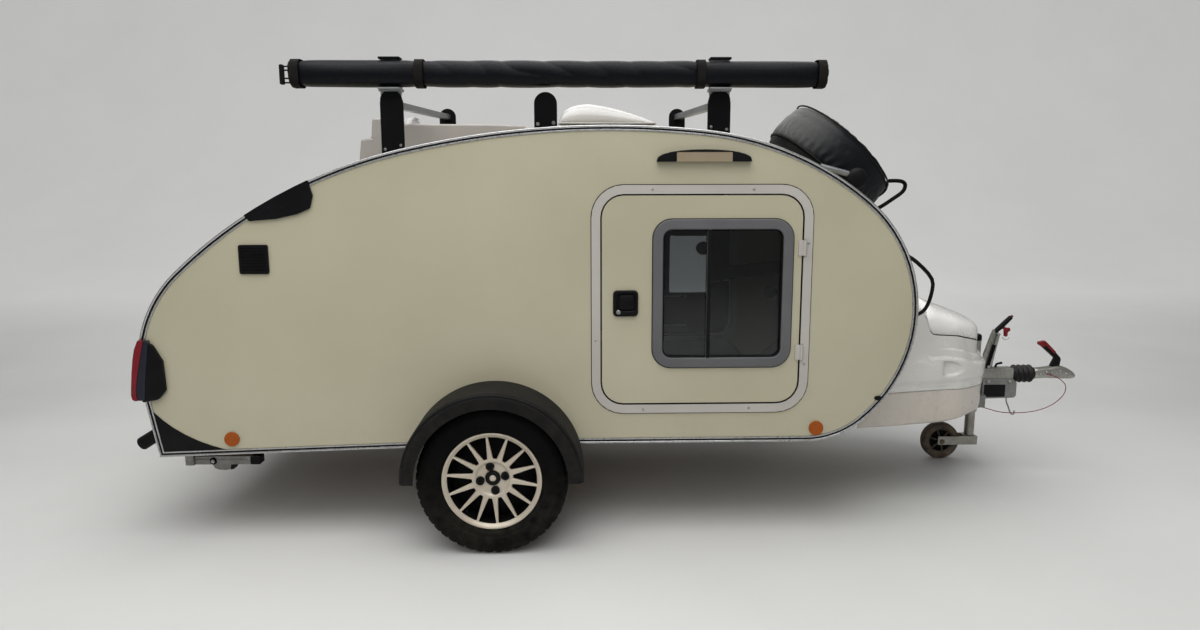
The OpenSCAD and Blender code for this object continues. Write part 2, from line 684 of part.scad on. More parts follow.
// Jockey wheel, clamped to the left of the A-frame
jockey_lead = 672;
jockey_x = front_x + jockey_lead;
jockey_y = 130;
sleeve_r = 30;
sleeve_low = 250;
sleeve_top = 640;
stem_r = 24;
stem_low = 122;
fork_h = 44;
fork_half = 36;
fork_t = 6;
jockey_trail = 152;
jockey_w = 50;
swivel_r = 10;
jockey_round = 12;
module at_jockey(z) { translate([jockey_x, jockey_y, z]) children(); }
module jockey_sleeve() color("silver") placed() {
    difference() {
        union() {
            at_jockey(sleeve_low) cylinder(r = sleeve_r, h = sleeve_top - sleeve_low);
            translate([0, 0, sill_z - rail_h]) linear_extrude(height = rail_h)
                polygon([for (x = [jockey_x - 2 * sleeve_r, jockey_x + sleeve_r])
                    each [[x, rail_out(x)], [x, jockey_y]]], [[0, 1, 3, 2]]);
        }
        at_jockey(sleeve_low - cut) cylinder(r = stem_r + seat, h = sleeve_top - sleeve_low - lug_t);
    }
}
module jockey_stem() color("silver") placed() {
    at_jockey(stem_low) cylinder(r = stem_r, h = sleeve_top - sleeve_low);
    at_jockey(stem_low - fork_h + lug_t) cylinder(r = swivel_r, h = fork_h);
}
module jockey_fork() color("dimgray") placed() difference() {
    union() {
        translate([jockey_x - sleeve_r, jockey_y - fork_half, stem_low - fork_h])
            cube([2 * sleeve_r, 2 * fork_half, fork_h - seat]);
        for (y = [-fork_half, fork_half - fork_t])
            translate([jockey_x - jockey_trail - fork_h / 2, jockey_y + y, stem_low - fork_h])
                cube([jockey_trail + fork_h / 2, fork_t, fork_h - seat]);
        translate([jockey_x - jockey_trail, jockey_y, jockey_d / 2]) rotate([90, 0, 0])
            cylinder(r = swivel_r, h = 2 * fork_half, center = true);
    }
    at_jockey(stem_low - fork_h - cut) cylinder(r = swivel_r + seat, h = fork_h + 2 * cut);
}
module jockey_wheel() color("#4a3b30") placed()
    translate([jockey_x - jockey_trail, jockey_y, jockey_d / 2]) rotate([90, 0, 0]) rotate_extrude($fn = 64)
        polygon(rounded([[swivel_r + running_clear, -jockey_w / 2], [swivel_r + running_clear, jockey_w / 2],
            [jockey_d / 2, jockey_w / 2], [jockey_d / 2, -jockey_w / 2]],
            [cut, cut, jockey_round, jockey_round]));

// Corner steadies, folded up under the floor
module steady_leg() {
    round_r = steady_h / 2 - cut;
    difference() {
        translate([0, -steady_y + steady_w / 2, 0]) rotate([90, 0, 0]) linear_extrude(height = steady_w)
            polygon(rounded(box(steady_x - steady_h / 2, steady_z - steady_h / 2, steady_x + steady_len,
                steady_z + steady_h / 2), [round_r, round_r, cut, cut]));
        translate([steady_x, -steady_y, steady_z]) rotate([90, 0, 0])
            cylinder(r = pin_r + pin_clear, h = 2 * steady_w, center = true);
    }
}
module steady_right() color("silver") placed() steady_leg();
module steady_left() color("silver") placed() left() steady_leg();

// Lamps, reflectors, vents and caps on the walls
housing_proud = 22;
lamp_deep_shares = [[0, 0.62], [0.2, 0.98], [0.75, 1], [1, 0.55]];
lamp_deep = 100;
module lamp_housings() color("black") placed() pair() on_wall(housing_proud, -trim_proud)
    polygon(concat(run(lamp_t0, lamp_t1, 0),
        [for (s = backwards(lamp_deep_shares))
            edge(lamp_t0 + s[0] * (lamp_t1 - lamp_t0), s[1] * lamp_deep)]));
module lamp_lenses() color("red") placed() pair() on_wall(housing_proud, wall_t - cut)
    polygon(band(lamp_t0, lamp_t1, -lens_out, 0));
reflector_r = 29;
reflector_t = 8;
reflector_us = [288, 2617];
reflector_rises = [33, 56];
module reflectors() color("orange") placed() pair() for (i = [0, 1])
    translate([body_x(reflector_us[i]), -half_w, body_z(reflector_rises[i])]) rotate([90, 0, 0])
        cylinder(r = reflector_r, h = reflector_t);
vent_s = 112;
vent_u = 365;
vent_x = body_x(vent_u);
vent_rise = 690;
vent_z = body_z(vent_rise);
vent_r = 8;
vent_bar = 10;
vent_slots = 8;
slot_gap_share = 0.2;
slot_share = 0.6;
module vents() color("black") placed() pair() difference() {
    on_wall(reflector_t, 0) polygon(rounded(box(vent_x, vent_z, vent_x + vent_s, vent_z + vent_s), vent_r));
    pitch = (vent_s - 2 * vent_bar) / vent_slots;
    for (k = [0 : vent_slots - 1])
        translate([vent_x + vent_bar, -half_w - 2 * reflector_t,
            vent_z + vent_bar + (k + slot_gap_share) * pitch])
            cube([vent_s - 2 * vent_bar, reflector_t * 3 / 2, slot_share * pitch]);
}
cap_t0 = 2.36;
cap_t1 = 2.64;
cap_deep_shares = [[0.02, 0.3], [0.35, 0.75], [0.65, 0.98], [0.85, 1], [0.97, 0.6]];
cap_deep = 98;
module hinge_caps() color("black") placed() pair() on_wall(trim_proud + reflector_t, -trim_proud)
    polygon(concat(run(cap_t0, cap_t1, 0),
        [for (s = backwards(cap_deep_shares)) edge(cap_t0 + s[0] * (cap_t1 - cap_t0), s[1] * cap_deep)]));
plate_h = 165;
plate_len = 240;
plate_curve_share = 0.32;
module corner_plates() color("black") placed() pair() on_wall(trim_proud, 0) {
    p = tail_corner(trim_t);
    a = p + plate_h * onward(tail_lean);
    b = p - plate_len * onward(sole_lean);
    polygon(concat([p], [for (k = [0 : corner_steps]) let (f = k / corner_steps)
        (1 - f) * (1 - f) * a + 2 * f * (1 - f) * (p + plate_curve_share * (a + b - 2 * p)) + f * f * b]));
}
lamp_over = 87;
lamp_x = door_x;
lamp_z = door_z + door_h + lamp_over;
lamp_len = 364;
lamp_h = 46;
lamp_bow = 0.7;
porch_proud = 30;
porch_lens_len = 212;
porch_lens_h = 36;
module porch_lens_shape() {
    polygon(box(lamp_x - porch_lens_len / 2, lamp_z, lamp_x + porch_lens_len / 2, lamp_z + porch_lens_h));
}
module porch_lamps() color("black") placed() pair() on_wall(porch_proud, 0) difference() {
    polygon([for (k = [0 : 2 * corner_steps]) let (a = 180 - 90 * k / corner_steps)
        [lamp_x + lamp_len / 2 * cos(a), lamp_z + lamp_h * pow(max(sin(a), 0), lamp_bow)]]);
    porch_lens_shape();
}
module porch_lenses() color("white") placed() pair() on_wall(porch_proud - cut, 0) porch_lens_shape();

// Roof rack with the awning bag on its right side
bracket_us = [956, 1542, 2210];
bracket_xs = [for (u = bracket_us) body_x(u)];
bracket_w = 88;
bracket_t = 8;
bracket_inset = 58;
bracket_y = half_w - bracket_inset;
rack_z = roof_top + rack_h;
rack_rise = 55;
foot_w = 50;
module bracket(x, top, foot) {
    translate([0, -bracket_y + bracket_t, 0]) rotate([90, 0, 0]) linear_extrude(height = bracket_t)
    difference() {
        union() {
            translate([x, top - bracket_w / 2]) circle(r = bracket_w / 2);
            polygon(box(x - bracket_w / 2, mid_z, x + bracket_w / 2, top - bracket_w / 2));
        }
        polygon(outline(panel_d));
    }
    translate([0, -bracket_y + bracket_t + foot, 0]) rotate([90, 0, 0]) linear_extrude(height = foot)
    intersection() {
        polygon(box(x - bracket_w / 2, mid_z, x + bracket_w / 2, top));
        difference() {
            polygon(outline(panel_d - bracket_t));
            polygon(outline(panel_d));
        }
    }
}
module roof_brackets() color("#18181a") placed() {
    for (x = bracket_xs) bracket(x, rack_z, foot_w);
    left() for (x = [bracket_xs[0], bracket_xs[2]]) bracket(x, rack_z + rack_rise, foot_w);
}
bar_h = 26;
bar_w = 34;
bar_drop = 32;
clamp_h = 14;
clamp_w = 84;
awning_inset = 62;
awning_y = half_w - awning_inset;
awning_low = rack_z + clamp_h;
module crossbars() color("silver") placed() {
    y0 = -bracket_y + bracket_t;
    for (x = [bracket_xs[0], bracket_xs[2]])
        translate([x - bar_w / 2, 0, 0]) rotate([90, 0, 90]) linear_extrude(height = bar_w)
            polygon([[y0, rack_z - bar_drop - bar_h], [-y0, rack_z + rack_rise - bar_drop - bar_h],
                [-y0, rack_z + rack_rise - bar_drop], [y0, rack_z - bar_drop]]);
    for (x = [bracket_xs[0], bracket_xs[2]])
        translate([x - clamp_w / 2, -awning_y - awning_d / 4, rack_z])
            cube([clamp_w, awning_d / 2, clamp_h - seat]);
}
awning_over = 378;
awning_x = bracket_xs[0] - awning_over;
awning_r = 38;
module awning_bag() color("#14161c") placed()
    translate([awning_x, -awning_y, awning_low]) rotate([90, 0, 90]) linear_extrude(height = awning_len)
        polygon(rounded(box(-awning_d / 2, 0, awning_d / 2, awning_d), awning_r));

// Roof unit, skylight and spare wheel
unit_u = 640;
unit_x0 = body_x(unit_u);
unit_w = 660;
unit_shares = [[0, 0], [0.02, 0.42], [0.07, 0.46], [0.09, 0.96], [0.12, 1], [0.26, 0.86], [1, 0.86], [1, 0]];
unit_run = 880;
unit_len = unit_run * stretch;
unit_rise = 1130;
unit_low = body_z(unit_rise);
unit_tall = 202;
unit_h = unit_tall * stretch;
module roof_unit() color("white") placed() across(unit_w / 2) difference() {
    polygon([for (s = unit_shares) [unit_x0 + s[0] * unit_len, unit_low + s[1] * unit_h]]);
    polygon(outline(panel_d));
}
skylight_rim = 34;
dome_h = 92;
dome_over = 10;
dome_w = skylight_w + 2 * dome_over;
dome_shares = [[0, 0], [0.02, 0.45], [0.14, 0.85], [0.32, 1], [0.60, 0.78], [0.98, 0.14], [1, 0]];
dome_wall = 5;
dome_len = skylight_len - 2 * barrel_r - seat;
dome_hinge_ys = [-150, 150];
skylight_z = lookup(skylight_x0 + skylight_len / 2, roof_line) + skylight_rim;
dome_axis = [skylight_x0 + skylight_len - barrel_r, skylight_z + barrel_r - barrel_sunk];
module skylight_base() color("white") placed() difference() {
    union() {
        across(skylight_w / 2) difference() {
            polygon(box(skylight_x0, mid_z, skylight_x0 + skylight_len, skylight_z));
            polygon(outline(panel_d));
        }
        barrels(dome_axis, dome_hinge_ys);
    }
    skylight_box(skylight_wall, 4 * panel_t);
}
module dome_shape(d) {
    pts = [for (s = dome_shares) [skylight_x0 + s[0] * dome_len, skylight_z + gap + s[1] * dome_h]];
    low = skylight_z + gap;
    polygon([for (p = inset(pts, d)) [p[0], p[1] < low + 2 * d && d > 0 ? low - cut : p[1]]]);
}
module skylight_dome() color([0.95, 0.95, 0.93]) placed() difference() {
    across(dome_w / 2) dome_shape(0);
    across(dome_w / 2 - dome_wall) dome_shape(dome_wall);
}
spare_tilt = 43;
spare_u = 2788;
spare_x = body_x(spare_u);
spare_rise = 1062;
spare_z = body_z(spare_rise);
spare_r = 60;
module at_spare() { translate([spare_x, 0, spare_z]) rotate([0, spare_tilt, 0]) children(); }
module spare_cover() color("#2c2d30") placed() at_spare() rotate_extrude($fn = 72)
    polygon(concat([[0, spare_t], [0, 0]],
        corner([0, 0], [spare_d / 2, 0], [spare_d / 2, spare_t], spare_r / 2),
        corner([spare_d / 2, 0], [spare_d / 2, spare_t], [0, spare_t], spare_r)));
post_r = 60;
module spare_carrier() color("#333338") placed() {
    difference() {
        at_spare() translate([0, 0, -spare_t]) cylinder(r = post_r, h = spare_t - seat);
        across(half_w) polygon(outline(panel_d));
    }
}
handle_r = 8;
handle_inset = 100;
handle_steps = 3;
handle_y = half_w - handle_inset;
handle_t0 = 5.27;
handle_t1 = 5.53;
handle_out = 113;
handle_shares = [[0, 0], [0.04, 0.26], [0.21, 0.6], [0.48, 1], [0.69, 0.93], [0.88, 0.72], [0.97, 0.4],
    [1, 0]];
module grab_handles() color("#111111") placed() pair() difference() {
    tube(smooth([for (s = handle_shares)
        let (p = edge(handle_t0 + s[0] * (handle_t1 - handle_t0), panel_d + handle_r - s[1] * handle_out))
        [p[0], -handle_y, p[1]]], handle_steps), handle_r);
    across(half_w) polygon(outline(panel_d));
}

chassis_frame();
axle_beam();
axle_arms();
floor_panel();
wall_right();
wall_left();
roof_panel();
front_panel();
rear_panel();
galley_unit();
edge_trims();
door_frames();
door_right();
door_left();
window_frame_right();
window_frame_left();
glass_right();
glass_left();
latch_right();
latch_left();
tailgate();
fenders();
tyre_right();
tyre_left();
rim_right();
rim_left();
nose_box();
nose_lid();
drawbar_tube();
bellows();
coupling_head();
coupling_lever();
overrun_housing();
handbrake_lever();
breakaway_cable();
jockey_sleeve();
jockey_stem();
jockey_fork();
jockey_wheel();
steady_right();
steady_left();
lamp_housings();
lamp_lenses();
reflectors();
vents();
hinge_caps();
corner_plates();
porch_lamps();
porch_lenses();
roof_brackets();
crossbars();
awning_bag();
roof_unit();
skylight_base();
skylight_dome();
spare_cover();
spare_carrier();
grab_handles();
mattress();
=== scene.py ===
"""Dresses the teardrop trailer: camera, stage, finishes and the pieces that its solids leave plain."""
import json
import math

import bmesh
import bpy
import numpy as np
from mathutils import Matrix, Vector, noise as ripple


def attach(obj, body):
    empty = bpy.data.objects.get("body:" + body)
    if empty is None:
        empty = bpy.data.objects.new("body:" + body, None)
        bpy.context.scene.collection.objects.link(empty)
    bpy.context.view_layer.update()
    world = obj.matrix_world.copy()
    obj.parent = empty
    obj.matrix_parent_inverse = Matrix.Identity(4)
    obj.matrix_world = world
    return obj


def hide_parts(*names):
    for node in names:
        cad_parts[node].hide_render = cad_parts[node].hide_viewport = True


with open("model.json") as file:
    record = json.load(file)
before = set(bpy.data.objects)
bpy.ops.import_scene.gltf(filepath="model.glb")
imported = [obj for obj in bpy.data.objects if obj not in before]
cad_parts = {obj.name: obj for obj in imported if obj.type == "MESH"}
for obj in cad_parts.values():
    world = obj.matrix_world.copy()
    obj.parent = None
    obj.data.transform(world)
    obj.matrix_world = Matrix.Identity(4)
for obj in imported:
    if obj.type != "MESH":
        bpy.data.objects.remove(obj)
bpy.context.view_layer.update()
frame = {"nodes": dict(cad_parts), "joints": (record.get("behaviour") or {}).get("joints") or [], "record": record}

bl_info = {
    "name": "Teardrop Trailer Dressing",
    "version": (1, 0, 0),
    "blender": (4, 5, 0),
    "location": "View3D > Sidebar > Trailer",
    "description": "Finishes and detail pieces for a teardrop travel trailer",
    "category": "Object",
}

MM = 0.001
AXLE = next(j for j in frame["joints"] if j["name"] == "right_wheel_spin")["pos_m"][0]
SIDES = (("right", -1), ("left", 1))
HALF_W = 760.0


def at(x, y, z):
    """Point in the frame from millimetres ahead of the axle, to the left and above the ground."""
    return Vector((AXLE + x * MM, y * MM, z * MM))


# Side outline of the body: the chain of legs that the solids follow

BODY_LEN, TAIL_LEN, SILL, TAIL_LEAN = 3075.0, 1330.0, 380.0, 100.0
LEGS = ((0, 0.0878), (0.168, 57), (0.623, 30), (1.158, 19), (0.392, 33.5), (0.186, 101), (0.114, 39.5))


def leg_at(i, f):
    x, z, lean = (0, 0, TAIL_LEAN) if i == 0 else leg_at(i - 1, 1)
    share, turn = LEGS[i]
    a = math.radians(lean)
    if share == 0:
        return x + f * turn * BODY_LEN * math.cos(a), z + f * turn * BODY_LEN * math.sin(a), lean
    b = math.radians(lean - f * turn)
    r = share * BODY_LEN
    return x + r * (math.sin(a) - math.sin(b)), z - r * (math.cos(a) - math.cos(b)), lean - f * turn


CHIN_Z = leg_at(len(LEGS) - 1, 1)[1]
TAIL = (-TAIL_LEN, SILL - CHIN_Z)


def edge(t, d):
    """Point of the outline at station t, d inside the trim's edge, as x and z in millimetres."""
    i = min(int(t), len(LEGS) - 1)
    x, z, lean = leg_at(i, t - i)
    a = math.radians(lean)
    return TAIL[0] + x + d * math.sin(a), TAIL[1] + z - d * math.cos(a)


def run(t0, t1, d, steps):
    return [edge(t0 + (t1 - t0) * k / steps, d) for k in range(steps + 1)]


def tail_corner(d):
    sole, lean = math.atan2(TAIL[1] - SILL, TAIL[0]), math.radians(TAIL_LEAN)
    n = (math.sin(sole), -math.cos(sole))
    side = (math.sin(lean), -math.cos(lean))
    up = (math.cos(lean), math.sin(lean))
    slip = d * (1 - side[0] * n[0] - side[1] * n[1]) / (up[0] * n[0] + up[1] * n[1])
    return TAIL[0] + d * side[0] + slip * up[0], TAIL[1] + d * side[1] + slip * up[1]


def outline_loop(d, steps=120):
    return [tail_corner(d)] + run(1, len(LEGS) - 1e-6, d, steps) + [(0, SILL + d)]


def level(value, line):
    """What a line of points in rising order gives at a value."""
    return float(np.interp(value, *zip(*line)))


FRONT_FACE = [(z, x) for x, z in reversed(run(4.6, 5.95, 3.4, 60))]


def front_face(z):
    return level(z, FRONT_FACE)


# Meshes


def ease(value):
    """Eases from 0 to 1 as the value does."""
    f = min(max(value, 0.0), 1.0)
    return f * f * (3 - 2 * f)


def squared(a, across, up):
    """Cosine and sine of a turn, each drawn out by a power towards a rounded square."""
    x, z = math.cos(a), math.sin(a)
    return math.copysign(abs(x) ** across, x), math.copysign(abs(z) ** up, z)


def smooth_path(points, steps):
    """Points along the smooth curve through a short path."""
    p = [Vector(q) for q in points]
    n = len(p)
    out = []
    for i in range(n - 1):
        a, b, c, d = p[max(i - 1, 0)], p[i], p[i + 1], p[min(i + 2, n - 1)]
        square, cube = 2 * a - 5 * b + 4 * c - d, 3 * b - a - 3 * c + d
        for f in (k / steps for k in range(steps)):
            out.append((2 * b + (c - a) * f + square * f ** 2 + cube * f ** 3) / 2)
    return out + [p[-1]]


def rounded_rect(x0, z0, x1, z1, r, steps=6):
    loop = []
    for cx, cz, start in ((x1 - r, z1 - r, 0), (x0 + r, z1 - r, 90), (x0 + r, z0 + r, 180),
            (x1 - r, z0 + r, 270)):
        for k in range(steps + 1):
            a = math.radians(start + 90 * k / steps)
            loop.append((cx + r * math.cos(a), cz + r * math.sin(a)))
    return loop


class Shape:
    """Points and faces of a piece while it is drawn."""

    def __init__(self):
        self.points, self.faces = [], []

    def add(self, points, faces):
        base = len(self.points)
        self.points += [Vector(p) for p in points]
        self.faces += [[base + i for i in f] for f in faces]
        return self

    def loft(self, rings, around=True, along=False, caps=True):
        n, m = len(rings), len(rings[0])
        faces = []
        for i in range(n if along else n - 1):
            j = (i + 1) % n
            for k in range(m if around else m - 1):
                l = (k + 1) % m
                faces.append((i * m + k, i * m + l, j * m + l, j * m + k))
        if around and caps and not along:
            faces += [list(range(m)), [(n - 1) * m + k for k in range(m)]]
        return self.add([p for ring in rings for p in ring], faces)

    def tube(self, path, r, sides=10):
        """A round bar along a path; its radius, in millimetres, may change on the way."""
        turns = [2 * math.pi * k / sides for k in range(sides)]
        path = [Vector(p) for p in path]
        across = None
        rings = []
        for i, p in enumerate(path):
            ahead = (path[min(i + 1, len(path) - 1)] - path[max(i - 1, 0)]).normalized()
            if across is None:
                across = ahead.orthogonal()
            across = (across - ahead * across.dot(ahead)).normalized()
            over = ahead.cross(across)
            size = (r(i / (len(path) - 1)) if callable(r) else r) * MM
            rings.append([p + size * (across * math.cos(a) + over * math.sin(a)) for a in turns])
        return self.loft(rings)

    def lathe(self, profile, segments, place):
        """Turns a profile of radii and heights, which is closed unless it starts on the axis."""
        rings = [[place(r, 2 * math.pi * s / segments, h) for r, h in profile] for s in range(segments)]
        return self.loft(rings, around=profile[0][0] > 0, along=True)

    def slab(self, loop, near, far, place):
        return self.loft([[place(x, z, near) for x, z in loop], [place(x, z, far) for x, z in loop]])

    def make(self, name, slot, body, finish=None, smooth=35, bevel=0.0, steps=2, subsurf=False,
            replaces=()):
        mesh = bpy.data.meshes.new(name)
        mesh.from_pydata([tuple(p) for p in self.points], [], self.faces)
        bm = bmesh.new()
        bm.from_mesh(mesh)
        bmesh.ops.remove_doubles(bm, verts=bm.verts, dist=1e-6)
        bmesh.ops.recalc_face_normals(bm, faces=bm.faces)
        bm.to_mesh(mesh)
        bm.free()
        mesh.shade_smooth()
        mesh.set_sharp_from_angle(angle=math.radians(smooth))
        piece = bpy.data.objects.new(name, mesh)
        bpy.context.scene.collection.objects.link(piece)
        if bevel:
            rounding = piece.modifiers.new("rounding", "BEVEL")
            rounding.width = bevel * MM
            rounding.segments = steps
            rounding.limit_method = "ANGLE"
            rounding.harden_normals = True
        if subsurf:
            smooth_skin(piece)
        return settle(piece, slot, body, finish, replaces)


def smooth_skin(piece):
    skin = piece.modifiers.new("skin", "SUBSURF")
    skin.levels = skin.render_levels = 1


MOULDING = 0.004


def thicken(piece, thickness=MOULDING, offset=-1.0):
    """Gives a moulded skin its wall."""
    wall = piece.modifiers.new("wall", "SOLIDIFY")
    wall.thickness = thickness
    wall.offset = offset


def settle(piece, slot, body, finish=None, replaces=()):
    """Gives a piece its finish, which is its slot's unless another is named, puts it on its body and hides what it
    replaces.
    """
    piece.data.materials.clear()
    piece.data.materials.append(finish_of(finish or slot))
    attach(piece, body)
    if replaces:
        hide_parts(*replaces)
    return piece


def on_wall(side):
    """Places x and z on a side wall, standing out from its face."""
    return lambda x, z, out: at(x, side * (HALF_W + out), z)


def in_plane(y):
    """Places x and z on a lengthwise plane, standing out from it to the left."""
    return lambda x, z, out: at(x, y + out, z)


def wall_spots(side, out, spots):
    """Places and axes of fasteners on a side wall, standing out from its face."""
    return [(x, side * (HALF_W + out), z, (0, side, 0)) for x, z in spots]


def round_pin(x, y, z, axis):
    """Places a turned profile round a point, along an axis."""
    ahead = Vector(axis).normalized()
    across = ahead.orthogonal().normalized()
    over = ahead.cross(across)
    centre = at(x, y, z)
    return lambda r, a, h: centre + MM * (ahead * h + r * (across * math.cos(a) + over * math.sin(a)))


def plates(body, place, rows):
    """Flat pieces: name, slot, finish, rounding, faces, outline and perhaps the node it stands for."""
    for name, slot, finish, bevel, near, far, loop, *node in rows:
        Shape().slab(loop, near, far, place).make(name, slot, body, finish, bevel=bevel,
            replaces=tuple(node))


def studs(name, slot, body, finish, profile, sides, pins, smooth=40):
    """Fasteners of one turned profile as one piece, each at its place and along its axis."""
    shape = Shape()
    for pin in pins:
        shape.lathe(profile, sides, round_pin(*pin))
    return shape.make(name, slot, body, finish, smooth=smooth)


def screw_profile(r, h):
    return [(0, h * 0.6), (r * 0.35, h * 0.62), (r * 0.4, h), (r * 0.75, h * 0.95), (r, h * 0.5),
        (r, -h), (0, -h)]


# Finishes


def paint(r, g, b):
    """Colour of the shader from a colour as seen, in 256 steps."""
    return tuple(((c / 255 + 0.055) / 1.055) ** 2.4 if c > 10 else c / 255 / 12.92
        for c in (r, g, b)) + (1,)


class Graph:
    """A node tree while it is built."""

    def __init__(self, tree):
        self.tree = tree

    def join(self, socket, value):
        if isinstance(value, bpy.types.NodeSocket):
            self.tree.links.new(value, socket)
        else:
            socket.default_value = value

    def feed(self, node, inputs):
        for key, value in dict(inputs).items():
            self.join(node.inputs[key], value)

    def add(self, kind, inputs=(), **settings):
        made = self.tree.nodes.new("ShaderNode" + kind)
        for key, value in settings.items():
            setattr(made, key, value)
        self.feed(made, inputs)
        return made

    def math(self, operation, *values):
        return self.add("Math", enumerate(values), operation=operation).outputs[0]

    def times(self, a, b):
        return self.math("MULTIPLY", a, b)

    def plus(self, a, b):
        return self.math("ADD", a, b)

    def vectors(self, operation, a, b):
        return self.add("VectorMath", {0: a, 1: b}, operation=operation).outputs

    def mix(self, factor, a, b):
        return self.add("Mix", {0: factor, 6: a, 7: b}, data_type="RGBA").outputs[2]

    def ramp(self, value, low, high, to_low=0.0, to_high=1.0):
        ends = {"Value": value, "From Min": low, "From Max": high, "To Min": to_low, "To Max": to_high}
        return self.add("MapRange", ends).outputs[0]

    def noise(self, vector, scale, detail=4.0):
        return self.add("TexNoise", {"Vector": vector, "Scale": scale, "Detail": detail}).outputs[0]

    def parts(self, vector):
        return self.add("SeparateXYZ", {0: vector}).outputs

    def place(self):
        return self.add("TexCoord").outputs["Object"]

    def effect(self, name, **inputs):
        return self.add("Group", inputs, node_tree=EFFECTS[name]).outputs


SOCKETS = {float: "NodeSocketFloat", tuple: "NodeSocketColor", Vector: "NodeSocketVector"}


class Effect(Graph):
    """A shared effect, as a node group with named sockets."""

    def __init__(self, name, inputs, outputs):
        super().__init__(bpy.data.node_groups.new(name, "ShaderNodeTree"))
        for label, value in inputs.items():
            kind = SOCKETS[type(value)]
            socket = self.tree.interface.new_socket(name=label, in_out="INPUT", socket_type=kind)
            socket.default_value = value
        for label, kind in outputs.items():
            self.tree.interface.new_socket(name=label, in_out="OUTPUT", socket_type="NodeSocket" + kind)
        self.given = self.tree.nodes.new("NodeGroupInput").outputs
        self.result = self.tree.nodes.new("NodeGroupOutput")
        self.here = self.place()

    def set(self, **results):
        self.feed(self.result, results)
        return self.tree


def grain_effect():
    e = Effect("Surface grain", {"Scale": 200.0, "Stretch": Vector((1, 1, 1))},
        {"Value": "Float", "Fine": "Float"})
    scale = e.given["Scale"]
    spot = e.vectors("MULTIPLY", e.here, e.given["Stretch"])[0]
    return e.set(Value=e.noise(spot, scale, 6.0), Fine=e.noise(spot, e.times(scale, 4.0), 2.0))


def mottle_effect():
    e = Effect("Mottled colour", {"Base": (1, 1, 1, 1), "Shade": (0, 0, 0, 1), "Scale": 3.0,
        "Amount": 0.5}, {"Colour": "Color"})
    patch = e.ramp(e.noise(e.here, e.given["Scale"], 7.0), 0.38, 0.68)
    return e.set(Colour=e.mix(e.times(patch, e.given["Amount"]), e.given["Base"], e.given["Shade"]))


def dust_effect():
    e = Effect("Road dust", {"Amount": 0.3, "Reach": 0.6}, {"Mask": "Float"})
    facing_up = e.parts(e.add("NewGeometry").outputs["Normal"])[2]
    low = e.ramp(e.math("DIVIDE", e.parts(e.here)[2], e.given["Reach"]), 0.35, 1.0, 1.0, 0.0)
    lies = e.ramp(facing_up, 0.4, 1.0, 0.0, 0.8)
    speck = e.ramp(e.noise(e.here, 30.0, 8.0), 0.3, 0.75)
    return e.set(Mask=e.times(e.times(e.math("MAXIMUM", low, lies), speck), e.given["Amount"]))


def wear_effect():
    e = Effect("Edge wear", {"Width": 0.003, "Amount": 0.5}, {"Mask": "Float"})
    soft = e.add("Bevel", {"Radius": e.given["Width"]}, samples=4).outputs[0]
    turn = e.vectors("DOT_PRODUCT", soft, e.add("NewGeometry").outputs["Normal"])["Value"]
    chips = e.ramp(e.noise(e.here, 90.0, 6.0), 0.45, 0.6)
    return e.set(Mask=e.times(e.times(e.ramp(turn, 0.97, 0.8), chips), e.given["Amount"]))


def weave_effect():
    e = Effect("Woven cloth", {"Scale": 900.0}, {"Height": "Float", "Shade": "Float"})
    x, y, z = e.parts(e.here)
    over, under = (e.math("SINE", e.times(along, e.given["Scale"])) for along in (x, e.plus(y, z)))
    cross = e.times(over, under)
    return e.set(Height=cross, Shade=e.ramp(cross, -1.0, 1.0))


def spangle_effect():
    e = Effect("Zinc spangle", {"Scale": 60.0}, {"Value": "Float"})
    cells = e.add("TexVoronoi", {"Vector": e.here, "Scale": e.given["Scale"]}).outputs["Color"]
    flake = e.add("SeparateColor", {0: cells}).outputs[0]
    return e.set(Value=e.plus(e.times(flake, 0.7), e.times(e.noise(e.here, 14.0, 5.0), 0.3)))


def plies_effect():
    e = Effect("Wood figure", {"Scale": 5.0}, {"Value": "Float"})
    long = e.vectors("MULTIPLY", e.here, (8, 1, 8))[0]
    rings = {"Vector": long, "Scale": e.given["Scale"], "Distortion": 6.0, "Detail": 4.0}
    return e.set(Value=e.add("TexWave", rings).outputs["Fac"])


EFFECTS = {}
FINISHES = {}
DUST = paint(150, 140, 122)

